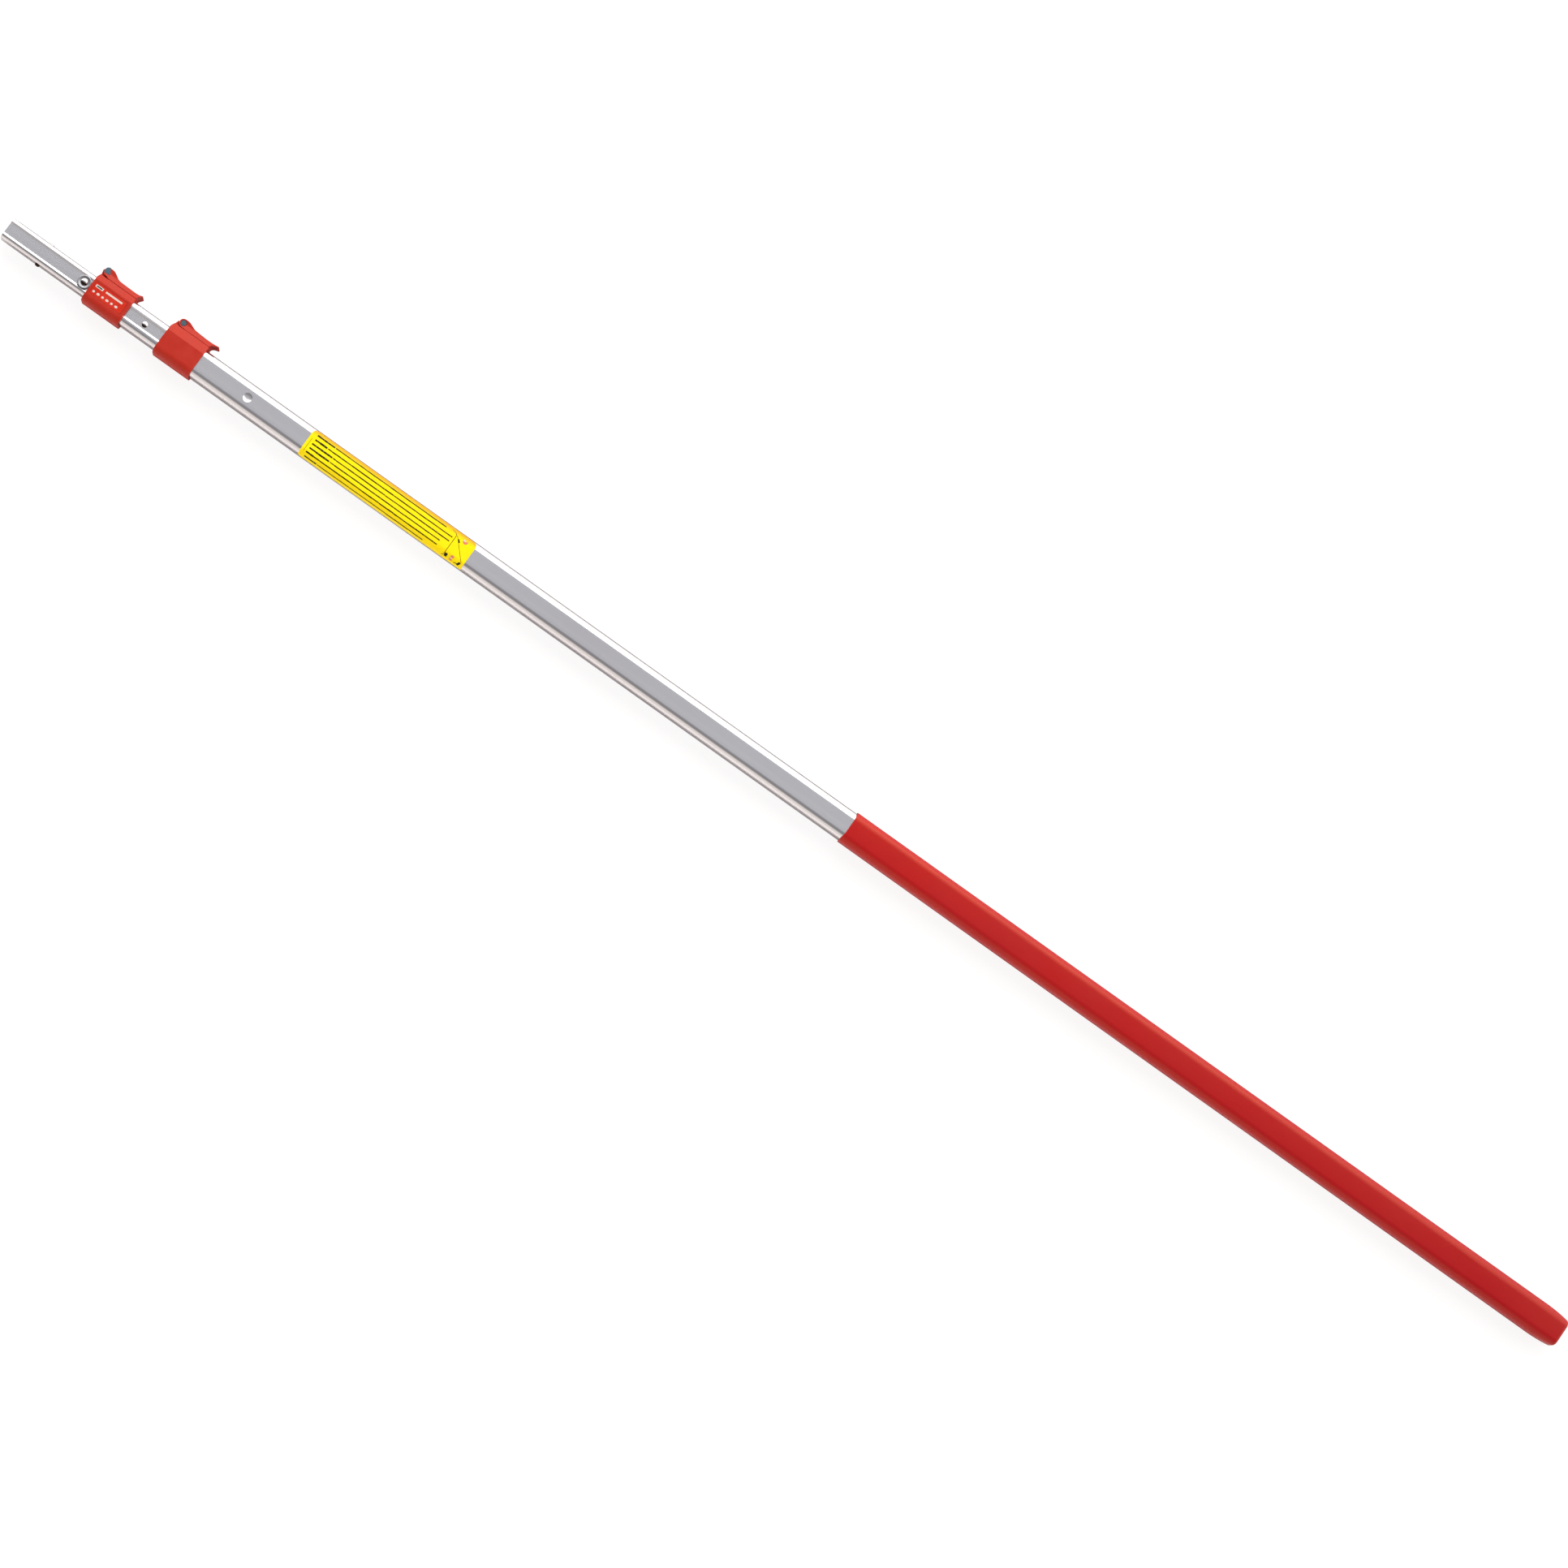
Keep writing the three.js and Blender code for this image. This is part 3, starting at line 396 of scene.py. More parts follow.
# %% Make a finish
def finish_of(name, color, group, group_values, tone=None, bump=0.0, bump_distance=0.0002, **sockets):
    """A material: a Principled shader varied by one of the groups.

    tone is a second colour that the group's slow noise mixes in, with its share."""
    made = bpy.data.materials.new(name)
    made.use_nodes = True
    tree = made.node_tree
    shader = tree.nodes["Principled BSDF"]
    shader.inputs["Base Color"].default_value = (*color, 1)
    for label, value in sockets.items():
        shader.inputs[label.replace("_", " ")].default_value = value
    place = add_node(tree, "ShaderNodeTexCoord")
    pattern = add_node(tree, "ShaderNodeGroup")
    pattern.node_tree = group
    for label, value in group_values.items():
        pattern.inputs[label].default_value = value
    wire(tree, (place.outputs["Object"], pattern.inputs["Vector"]),
         (pattern.outputs["Roughness"], shader.inputs["Roughness"]))
    if bump:
        relief = add_node(tree, "ShaderNodeBump", inputs={"Strength": bump, "Distance": bump_distance})
        wire(tree, (pattern.outputs["Height"], relief.inputs["Height"]),
             (relief.outputs["Normal"], shader.inputs["Normal"]))
    if tone:
        other, share_of_it = tone
        level = add_node(tree, "ShaderNodeMapRange",
                         inputs={"From Min": 0.3, "From Max": 0.7, "To Max": share_of_it})
        mix = add_node(tree, "ShaderNodeMix", data_type="RGBA")
        mix.inputs["A"].default_value = (*color, 1)
        mix.inputs["B"].default_value = (*other, 1)
        wire(tree, (pattern.outputs[2], level.inputs["Value"]), (level.outputs[0], mix.inputs["Factor"]),
             (mix.outputs["Result"], shader.inputs["Base Color"]))
    return made


def tint(material, color, axis, start, end):
    """Mixes a second colour into a finish between two places along an axis, in metres."""
    tree = material.node_tree
    shader = tree.nodes["Principled BSDF"]
    before = shader.inputs["Base Color"].links[0].from_socket
    place = add_node(tree, "ShaderNodeTexCoord")
    parts = add_node(tree, "ShaderNodeSeparateXYZ")
    share = add_node(tree, "ShaderNodeMapRange", inputs={"From Min": start, "From Max": end})
    mix = add_node(tree, "ShaderNodeMix", data_type="RGBA")
    mix.inputs["B"].default_value = (*color, 1)
    wire(tree, (place.outputs["Object"], parts.inputs[0]), (parts.outputs[axis], share.inputs["Value"]),
         (share.outputs[0], mix.inputs["Factor"]), (before, mix.inputs["A"]),
         (mix.outputs["Result"], shader.inputs["Base Color"]))


print("finish_of and tint are ready")

# %% [markdown]
# ## Metals
# The tubes are aluminium with a satin skin, and the rivets, buttons and screws are bright plated
# steel. The washer is duller zinc. The side of the rivets and buttons that is turned away from
# the levers is painted nearly black, as painted shade.

# %% Mix the metals
ALUMINIUM = finish_of("extruded_aluminium", (0.82, 0.815, 0.825), DIE_LINES,
                      {"Lines": 150.0, "Low": 0.205, "High": 0.235}, tone=((0.79, 0.775, 0.785), 1.0),
                      bump=0.01, bump_distance=0.00002, Metallic=1.0, Specular_Tint=(0.76, 0.76, 0.80, 1))


def plated(name):
    """Bright plated steel."""
    return finish_of(name, (0.80, 0.78, 0.75), MOULD_GRAIN,
                     {"Grain": 2500.0, "Patches": 250.0, "Low": 0.08, "High": 0.16},
                     tone=((0.66, 0.64, 0.62), 0.6), Metallic=1.0)


STEEL = plated("bright_steel")
RIVET_PAINTED_SHADE = plated("rivet_steel")
# Painted shade: past the axis, on the side away from the levers, this steel is painted nearly black.
tint(RIVET_PAINTED_SHADE, (0.045, 0.028, 0.020), "Y", AXIS_Y + 0.0002, AXIS_Y + 0.0014)
ZINC = finish_of("dull_zinc", (0.40, 0.40, 0.41), MOULD_GRAIN,
                 {"Grain": 2500.0, "Patches": 400.0, "Low": 0.3, "High": 0.42},
                 tone=((0.30, 0.30, 0.31), 0.8), bump=0.05, bump_distance=0.00005, Metallic=1.0)
print(len(bpy.data.materials), "materials so far")

# %% [markdown]
# ## Reds and yellow
# The collars and levers are red nylon with a fine grain, and the plate set into the upper collar
# is a brighter red. The sleeve is dipped vinyl, smooth and a little darker towards the butt. The
# label is yellow film, more orange where it turns over the tube's edge.

# %% Mix the reds and the yellow
WARM_SHINE = (1.0, 0.62, 0.45, 1)
RED = finish_of("red_moulding", (0.385, 0.018, 0.011), MOULD_GRAIN,
                {"Grain": 1400.0, "Patches": 60.0, "Low": 0.36, "High": 0.50},
                tone=((0.42, 0.025, 0.015), 1.0), bump=0.12, bump_distance=0.0001, IOR=1.5,
                Specular_IOR_Level=0.28, Specular_Tint=WARM_SHINE)
PLATE_RED = finish_of("red_plate", (0.48, 0.018, 0.008), MOULD_GRAIN,
                      {"Grain": 1400.0, "Patches": 60.0, "Low": 0.28, "High": 0.40},
                      tone=((0.52, 0.028, 0.013), 1.0), bump=0.08, bump_distance=0.0001, IOR=1.5,
                      Specular_IOR_Level=0.28, Specular_Tint=WARM_SHINE)
VINYL = finish_of("dipped_vinyl", (0.395, 0.0085, 0.0095), MOULD_GRAIN,
                  {"Grain": 38.0, "Patches": 9.0, "Low": 0.25, "High": 0.35},
                  tone=((0.36, 0.0075, 0.012), 1.0), bump=0.3, bump_distance=0.0012, IOR=1.48,
                  Specular_IOR_Level=0.42, Specular_Tint=(1.0, 0.56, 0.30, 1))
YELLOW = finish_of("yellow_film", (0.93, 0.72, 0.006), MOULD_GRAIN,
                   {"Grain": 500.0, "Patches": 40.0, "Low": 0.38, "High": 0.48},
                   tone=((0.88, 0.64, 0.006), 0.8), bump=0.05, IOR=1.5, Specular_IOR_Level=0.14,
                   Specular_Tint=(1.0, 0.85, 0.3, 1))


tint(YELLOW, (0.56, 0.27, 0.010), "Y", AXIS_Y - 0.0086, AXIS_Y - 0.0140)
tint(VINYL, (0.33, 0.0060, 0.0105), "X", -0.15, -0.95)
print(len(bpy.data.materials), "materials so far")

# %% [markdown]
# ## Plain plastics
# The pins and cams are a dark blue-grey nylon, the plug in the butt is black, the brake shoes are
# rubber, and the bushes and tail plugs inside are natural nylon.

# %% Mix the plain plastics
BLUE_GREY = finish_of("blue_grey_nylon", (0.045, 0.080, 0.098), MOULD_GRAIN,
                      {"Grain": 1500.0, "Patches": 120.0, "Low": 0.38, "High": 0.55},
                      tone=((0.03, 0.11, 0.15), 0.8), bump=0.1, bump_distance=0.0001)
BLACK_PLASTIC = finish_of("black_plastic", (0.022, 0.022, 0.024), MOULD_GRAIN,
                          {"Grain": 1500.0, "Patches": 80.0, "Low": 0.45, "High": 0.6},
                          tone=((0.035, 0.035, 0.037), 0.8), bump=0.1, bump_distance=0.0001)
RUBBER = finish_of("black_rubber", (0.016, 0.016, 0.018), MOULD_GRAIN,
                   {"Grain": 2200.0, "Patches": 90.0, "Low": 0.65, "High": 0.82},
                   tone=((0.03, 0.03, 0.03), 0.9), bump=0.25, bump_distance=0.0001)
NYLON = finish_of("natural_nylon", (0.66, 0.65, 0.60), MOULD_GRAIN,
                  {"Grain": 1200.0, "Patches": 60.0, "Low": 0.42, "High": 0.55},
                  tone=((0.60, 0.58, 0.52), 0.8), bump=0.08, bump_distance=0.0001)
print(len(bpy.data.materials), "materials so far")

# %% [markdown]
# ## Inks
# The label and the plate are printed in flat inks, with very little shine: black for the lines,
# pink for the spots and cream for the plate's marks.


# %% Mix the inks
def ink(name, color, other, share, patches=200.0, low=0.4, high=0.6, **sockets):
    """A flat ink, uneven in tone as print is."""
    return finish_of(name, color, MOULD_GRAIN, {"Grain": 900.0, "Patches": patches, "Low": low, "High": high},
                     tone=(other, share), **sockets)


INK = ink("black_ink", (0.012, 0.012, 0.005), (0.035, 0.032, 0.006), 0.6, Specular_IOR_Level=0.12)
PINK_INK = ink("pink_ink", (0.62, 0.13, 0.12), (0.7, 0.25, 0.1), 0.7, Specular_IOR_Level=0.2)
CREAM_INK = ink("cream_ink", (0.60, 0.50, 0.44), (0.6, 0.5, 0.45), 0.6, patches=300.0, low=0.35, high=0.5)
print(len(bpy.data.materials), "materials")

# %% [markdown]
# ## Drawing sections
# An extruded tube is one outline, pushed along a line. The outline is drawn here as a list of
# corners, each with its own radius, and every corner is turned into a short run of points. The
# groove along the two inner stages is four more corners on the face.


# %% Round the corners of an outline
def rounded(corners, turn=9.0):
    """Points of a closed outline in Y and Z, from (y, z, radius) corners, one point every turn degrees."""
    points = []
    count = len(corners)
    for index, (y, z, radius) in enumerate(corners):
        here = Vector((y, z))
        before = (Vector(corners[index - 1][:2]) - here).normalized()
        after = (Vector(corners[(index + 1) % count][:2]) - here).normalized()
        if radius <= 0:
            points.append(here)
            continue
        bend = math.pi - before.angle(after)
        reach = radius * math.tan(bend / 2)
        centre = here + (before + after).normalized() * (radius / math.cos(bend / 2))
        first = here + before * reach - centre
        last = here + after * reach - centre
        swing = bend if first.x * last.y > first.y * last.x else -bend
        steps = max(1, round(math.degrees(bend) / turn))
        for step in range(steps + 1):
            a = swing * step / steps
            points.append(centre + Vector((first.x * math.cos(a) - first.y * math.sin(a),
                                           first.x * math.sin(a) + first.y * math.cos(a))))
    return points


print("corners can be rounded")

# %% [markdown]
# ## Tube sections
# A stage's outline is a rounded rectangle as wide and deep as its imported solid. The middle and
# inner stages have a shallow groove along the labelled face, which is four more corners with
# very small radii. The wall is the same all round.


# %% Draw a tube's corners
def box_corners(width, depth, corner):
    """The four corners of a rounded rectangle, anticlockwise from +Y +Z."""
    y, z = width / 2, depth / 2
    return [(y, z, corner), (-y, z, corner), (-y, -z, corner), (y, -z, corner)]


GROOVE = {"depth": 0.9, "slope": 1.8, "edge": 0.22}
TUBE_WALL = 1.6


def tube_corners(width, depth, corner, land=None):
    """A tube's corners, with a groove in its face where a land is given."""
    corners = box_corners(width, depth, corner)
    if land is None:
        return corners
    edge, z = width / 2 - corner - land, depth / 2
    low, foot = z - GROOVE["depth"], edge - GROOVE["slope"]
    return [corners[0], (edge, z, GROOVE["edge"]), (foot, low, GROOVE["edge"]),
            (-foot, low, GROOVE["edge"]), (-edge, z, GROOVE["edge"]), *corners[1:]]


def section_of(node):
    """A CAD piece's width and depth, in millimetres."""
    low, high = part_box(node)
    return (high.y - low.y) / MM, (high.z - low.z) / MM


for stage in ("outer_tube", "middle_tube", "inner_tube"):
    print(stage, "%.1f x %.1f mm" % section_of(stage))


# %% [markdown]
# ## Sweeping with Geometry Nodes
# All three tubes follow the same rule, so one node tree makes them. Its input is a mesh of
# nothing but edges: the outline and the bore, drawn flat. The tree turns them into curves,
# fills between them, pushes the face along and closes the start. Two inputs give where the
# tube starts and how long it is.


# %% Start a geometry tree
def geometry_tree(name, ins):
    """A geometry node tree with a geometry input and output and the named inputs."""
    tree = bpy.data.node_groups.new(name, "GeometryNodeTree")
    tree.interface.new_socket("Geometry", in_out="INPUT", socket_type="NodeSocketGeometry")
    for label, kind, value in ins:
        socket = tree.interface.new_socket(label, in_out="INPUT", socket_type=kind)
        if value is not None:
            socket.default_value = value
    tree.interface.new_socket("Geometry", in_out="OUTPUT", socket_type="NodeSocketGeometry")
    return tree, tree.nodes.new("NodeGroupInput"), tree.nodes.new("NodeGroupOutput")


print("geometry_tree is ready")

# %% [markdown]
# The section is drawn flat in X and Y, so the tree pushes it along Z, and then turns the whole
# tube to lie along X. The start face is a flipped copy of the filled section, because an
# extrusion leaves that end open.


# %% Build the sweep
def make_sweep():
    """Fills a flat section and extrudes it along X."""
    tree, start, end = geometry_tree(
        "sweep_section",
        [("Start", FLOAT, 0.0), ("Length", FLOAT, 1.0), ("Material", "NodeSocketMaterial", None)])
    curve = add_node(tree, "GeometryNodeMeshToCurve")
    fill = add_node(tree, "GeometryNodeFillCurve", mode="NGONS")
    push = add_node(tree, "ShaderNodeCombineXYZ")
    extrude = add_node(tree, "GeometryNodeExtrudeMesh")
    extrude.inputs["Individual"].default_value = False
    flip = add_node(tree, "GeometryNodeFlipFaces")
    join = add_node(tree, "GeometryNodeJoinGeometry")
    weld = add_node(tree, "GeometryNodeMergeByDistance", inputs={"Distance": 1e-6})
    place = add_node(tree, "ShaderNodeCombineXYZ")
    turn = Matrix(((0, 0, 1), (1, 0, 0), (0, 1, 0))).to_euler()
    move = add_node(tree, "GeometryNodeTransform", inputs={"Rotation": turn})
    real = add_node(tree, "GeometryNodeRealizeInstances")
    paint = add_node(tree, "GeometryNodeSetMaterial")
    wire(tree, (start.outputs["Geometry"], curve.inputs["Mesh"]), (curve.outputs[0], fill.inputs["Curve"]),
         (fill.outputs[0], extrude.inputs["Mesh"]), (start.outputs["Length"], push.inputs["Z"]),
         (push.outputs[0], extrude.inputs["Offset"]), (fill.outputs[0], flip.inputs["Mesh"]),
         (extrude.outputs["Mesh"], join.inputs[0]), (flip.outputs[0], join.inputs[0]),
         (join.outputs[0], weld.inputs["Geometry"]), (weld.outputs[0], move.inputs["Geometry"]),
         (start.outputs["Start"], place.inputs["X"]), (place.outputs[0], move.inputs["Translation"]),
         (move.outputs[0], real.inputs["Geometry"]), (real.outputs[0], paint.inputs["Geometry"]),
         (start.outputs["Material"], paint.inputs["Material"]), (paint.outputs[0], end.inputs["Geometry"]))
    return tree


SWEEP = make_sweep()
print("sweep:", len(SWEEP.nodes), "nodes")

# %% [markdown]
# ## Finishing a piece
# A piece is worked on with live modifiers, then turned into a plain mesh. Its faces are shaded
# smooth except across sharp edges, and it is told which body it moves with and which finish it
# has. The imported solids that it stands for are hidden.


# %% Turn a worked piece into a plain one
def inputs_by_name(modifier, **values):
    """Sets a Geometry Nodes modifier's inputs by the names shown in its tree."""
    for item in modifier.node_group.interface.items_tree:
        if item.item_type == "SOCKET" and item.in_out == "INPUT" and item.name.replace(" ", "_") in values:
            modifier[item.identifier] = values[item.name.replace(" ", "_")]


def baked(piece, smooth=35.0):
    """Applies a piece's modifiers, and shades it smooth except across sharp edges."""
    bpy.context.view_layer.update()
    shown = piece.evaluated_get(bpy.context.evaluated_depsgraph_get())
    mesh = bpy.data.meshes.new_from_object(shown)
    piece.modifiers.clear()
    piece.data = mesh
    mesh.name = piece.name
    if smooth:
        mesh.shade_smooth()
        mesh.set_sharp_from_angle(angle=math.radians(smooth))
    return piece


def flat_faces_flat(piece):
    """Weighs the shading by face size, so that a wide flat face next to a rounded corner stays flat."""
    weigh = piece.modifiers.new("weigh", "WEIGHTED_NORMAL")
    weigh.weight = 100
    weigh.keep_sharp = True
    return baked(piece, smooth=0)


def placed(piece, body, material=None, stands_for=()):
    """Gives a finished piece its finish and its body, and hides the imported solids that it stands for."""
    if material:
        piece.data.materials.clear()
        piece.data.materials.append(material)
    if stands_for:
        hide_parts(*stands_for)
    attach(piece, body)
    return piece


print("pieces can be baked and placed")

# %% [markdown]
# ## Outlines and cutters
# A sweep starts from rings of edges, and holes and pockets are cut with an exact boolean. Each
# cutter is a closed mesh. All of a piece's cutters are joined first, so that it is cut once.


# %% Outline and cut
def outline_mesh(name, outlines):
    """A mesh of closed rings of edges, drawn flat in metres."""
    points, edges = [], []
    for ring in outlines:
        first = len(points)
        points += [(p.x * MM, p.y * MM, 0) for p in ring]
        edges += [(first + i, first + (i + 1) % len(ring)) for i in range(len(ring))]
    mesh = bpy.data.meshes.new(name)
    mesh.from_pydata(points, edges, [])
    return mesh


def cut_away(piece, cutters):
    """Cuts each cutter, a mesh in the shared frame, out of a piece."""
    if not cutters:
        return piece
    shape = bmesh.new()
    for cutter in cutters:
        shape.from_mesh(cutter)
    joined = bpy.data.meshes.new(piece.name + "_cutter")
    shape.to_mesh(joined)
    shape.free()
    tool = new_object(piece.name + "_cutter", joined)
    cut = piece.modifiers.new("cut", "BOOLEAN")
    cut.operation = "DIFFERENCE"
    cut.solver = "EXACT"
    cut.use_self = True
    cut.object = tool
    baked(piece, smooth=0)
    bpy.data.objects.remove(tool)
    return piece


print("pieces can be cut")

# %% [markdown]
# ## Turned shapes
# Rivets, buttons, screws, the washer and round holes are all made as on a lathe: a profile of
# radius and height is spun about an axis. Corners of the profile are rounded with a small curve
# first, because a sharp turned edge would look drawn rather than made.


# %% Turn a profile
def turned(profile, axis, centre, steps=40):
    """A mesh turned from (radius, height) pairs in millimetres, along an axis, from a centre point."""
    mesh = bpy.data.meshes.new("turned")
    shape = bmesh.new()
    rings = []
    for radius, height in profile:
        if radius <= 0:
            rings.append([shape.verts.new((0, 0, height * MM))])
        else:
            rings.append([shape.verts.new((radius * MM * math.cos(2 * math.pi * i / steps),
                                           radius * MM * math.sin(2 * math.pi * i / steps), height * MM))
                          for i in range(steps)])
    for low, high in zip(rings, rings[1:]):
        for i in range(steps):
            j = (i + 1) % steps
            face = [low[i % len(low)], low[j % len(low)], high[j % len(high)], high[i % len(high)]]
            corners = list(dict.fromkeys(face))
            if len(corners) > 2:
                shape.faces.new(corners)
    if len(rings[0]) > 1 and profile[0] == profile[-1]:
        bmesh.ops.remove_doubles(shape, verts=shape.verts, dist=1e-7)
    bmesh.ops.recalc_face_normals(shape, faces=shape.faces)
    turn = Vector(axis).to_track_quat("Z", "Y").to_matrix().to_4x4()
    shape.transform(Matrix.Translation(centre) @ turn)
    shape.to_mesh(mesh)
    shape.free()
    return mesh


def rounded_profile(points, radii, steps=4):
    """Rounds the inner corners of a turned profile, each with its own radius."""
    out = [points[0]]
    for before, here, after, radius in zip(points, points[1:], points[2:], radii):
        if radius <= 0:
            out.append(here)
            continue
        a, b, c = Vector(before), Vector(here), Vector(after)
        start, stop = b + (a - b).normalized() * radius, b + (c - b).normalized() * radius
        for step in range(steps + 1):
            t = step / steps
            point = start * (1 - t) ** 2 + b * 2 * t * (1 - t) + stop * t ** 2
            out.append((point.x, point.y))
    out.append(points[-1])
    return out


print("profiles can be turned")

# %% [markdown]
# ## Holes and the dimple
# The rivets and the snap buttons pass through holes in the tubes, a little larger than they are.
# The dimple is a shallow dish pressed into the outer tube, which keeps the middle tube from
# pulling out. All of them are turned cutters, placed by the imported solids' boxes.


# %% Turn the cutters
def middle_of(node):
    """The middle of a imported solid's box."""
    low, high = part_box(node)
    return (low + high) / 2


def hole(node, radius, axis, reach):
    """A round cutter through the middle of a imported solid."""
    return turned([(0, -reach), (radius, -reach), (radius, reach), (0, reach)], axis, middle_of(node), 48)


DIMPLE_PLACE = TIP / MM - 320.1
DIMPLE_RADIUS = 5.2
DIMPLE_DEPTH = 0.85
DIMPLE_RIM = 0.25                  # the cutter widens by this as it leaves the face
DIMPLE_DISH = 2.6                  # a higher power is a flatter bottom


def dimple(steps=8):
    """A shallow dish pressed into the outer tube's face."""
    top = section_of("outer_tube")[1] / 2
    dish = [(0, -DIMPLE_DEPTH)]
    for step in range(1, steps + 1):
        t = step / steps
        dish.append((DIMPLE_RADIUS * t, -DIMPLE_DEPTH * (1 - t ** DIMPLE_DISH)))
    rim = DIMPLE_RADIUS + DIMPLE_RIM
    return turned([*dish, (rim, 0.12), (rim, 1), (0, 1)], (0, 0, 1), from_axis(DIMPLE_PLACE, 0, top), 64)


RIVET_HOLE = 2.4
BUTTON_HOLE = 3.1


CUTS = {
    "outer_tube": [dimple()],
    "middle_tube": [hole("middle_stop_rivet", RIVET_HOLE, (0, 0, 1), 4)],
    "inner_tube": [hole("inner_stop_rivet", RIVET_HOLE, (0, 0, 1), 5),
                   hole("snap_button_near", BUTTON_HOLE, (0, 1, 0), 5),
                   hole("snap_button_far", BUTTON_HOLE, (0, 1, 0), 5)],
}
print(sum(len(cutters) for cutters in CUTS.values()), "cutters")

# %% [markdown]
# ## The three tubes
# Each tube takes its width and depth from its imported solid, and its corner radius from the one
# outside it, less a wall and a sliding gap. The sweep makes it, the cutters open it, and a very
# small bevel at its two sawn ends catches the light. Its shading is weighed by face size, or the
# long triangles beside a hole would show as streaks.

# %% Sweep the tubes
CORNER = {"outer_tube": 8.4, "middle_tube": 6.45, "inner_tube": 4.5}
LAND = {"middle_tube": 1.35, "inner_tube": 0.2}   # flat metal between the corner and the groove
TUBE_BODY = {"outer_tube": "outer", "middle_tube": "middle", "inner_tube": "inner"}
TUBE_TRIM = 13.0                   # the outer tube stops short of the sleeve's tapered end
LEAST_BORE_CORNER = 0.3
SAWN_EDGE = 0.25

for node, corner in CORNER.items():
    width, depth = section_of(node)
    low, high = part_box(node)
    start = low.x + (TUBE_TRIM * MM if node == "outer_tube" else 0)
    outside = rounded(tube_corners(width, depth, corner, LAND.get(node)))
    inside = rounded(tube_corners(width - 2 * TUBE_WALL, depth - 2 * TUBE_WALL,
                                  max(corner - TUBE_WALL, LEAST_BORE_CORNER), LAND.get(node)))
    tube = new_object("visible_" + node, outline_mesh(node, [outside, inside]))
    sweep = tube.modifiers.new("sweep", "NODES")
    sweep.node_group = SWEEP
    inputs_by_name(sweep, Start=start, Length=high.x - start, Material=ALUMINIUM)
    baked(tube, smooth=0)
    for corner_vertex in tube.data.vertices:
        corner_vertex.co.y += AXIS_Y
        corner_vertex.co.z += AXIS_Z
    cut_away(tube, CUTS[node])
    edge = tube.modifiers.new("sawn_edge", "BEVEL")
    edge.width = SAWN_EDGE * MM
    edge.segments = 2
    edge.limit_method = "ANGLE"
    edge.angle_limit = math.radians(55)
    flat_faces_flat(baked(tube, smooth=25))
    placed(tube, TUBE_BODY[node], ALUMINIUM, [node])
    print(node, "%.1f x %.1f mm" % (width, depth), len(tube.data.polygons), "faces")

# %% [markdown]
# ## Grip sleeve
# The sleeve is soft vinyl, dipped over the tube. Its closed end is rounded all the way over,
# and its open mouth has a thin soft lip. It is made as a loft through rings, because its outline
# changes slowly along the pole, which one extrusion can't follow.


# %% Loft rings into a skin
def ring_at(x, corners):
    """A ring of points round the pole, in the shared frame."""
    return [from_axis(x, p.x, p.y) for p in rounded(corners)]


def loft(name, rings, close_ends=True):
    """A closed skin through rings that all have the same number of points."""
    shape = bmesh.new()
    made = [[shape.verts.new(p) for p in ring] for ring in rings]
    for low, high in zip(made, made[1:]):
        for i in range(len(low)):
            j = (i + 1) % len(low)
            shape.faces.new((low[i], low[j], high[j], high[i]))
    if close_ends:
        shape.faces.new(made[0])
        shape.faces.new(made[-1])
    bmesh.ops.remove_doubles(shape, verts=shape.verts, dist=1e-7)
    bmesh.ops.recalc_face_normals(shape, faces=shape.faces)
    mesh = bpy.data.meshes.new(name)
    shape.to_mesh(mesh)
    shape.free()
    return new_object(name, mesh)


print("rings can be lofted")

# %% [markdown]
# Each ring is the sleeve's outline, drawn in by some amount, at some place along the pole. The
# draw is greatest at the butt, where the sleeve tapers, and at the mouth the soft edge hangs
# back a little over the wide face.

# %% Shape one ring of the sleeve
SLEEVE_ROUND = 3.6                 # the edge round the closed end
SLEEVE_TAPER = 2.7                 # how far the sleeve draws in towards that end
SLEEVE_TAPER_LENGTH = 32.0
SLEEVE_LIP = 0.7
MOUTH_SAG = 2.3                    # the soft mouth's edge hangs back over the wide face
MOUTH_SAG_LENGTH = 14.0
sleeve_width, sleeve_depth = section_of("grip_sleeve")
sleeve_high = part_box("grip_sleeve")[1]
SLEEVE_CORNER = 10.05
SLEEVE_END_WALL = 4.2


def taper(x):
    """How far the sleeve is drawn in at a place, towards its closed end."""
    left = max(0.0, 1 - (x - BUTT / MM) / SLEEVE_TAPER_LENGTH)
    return SLEEVE_TAPER * left ** 2


def sleeve_ring(x, drawn_in):
    """One ring, drawn in by some millimetres all round, and set back over the face at the mouth."""
    ring = ring_at(x, box_corners(sleeve_width - 2 * drawn_in, sleeve_depth - 2 * drawn_in,
                                  max(SLEEVE_CORNER - drawn_in, 0.5)))
    near = max(0.0, 1 - (sleeve_high.x / MM - x) / MOUTH_SAG_LENGTH)
    for point in ring:
        across = (point.y - AXIS_Y) / MM / (sleeve_width / 2)
        over_face = max(0.0, (point.z - AXIS_Z) / MM / (sleeve_depth / 2))
        point.x -= MOUTH_SAG * MM * near ** 2 * over_face * max(0.0, 1 - across ** 2)
    return ring


print("sleeve %.1f x %.1f mm" % (sleeve_width, sleeve_depth))

# %% [markdown]
# Rings on the outside run from the butt to the mouth: round the closed end, along the taper, the
# long straight part, the sagging mouth and its lip. Rings on the inside run back to the end wall.

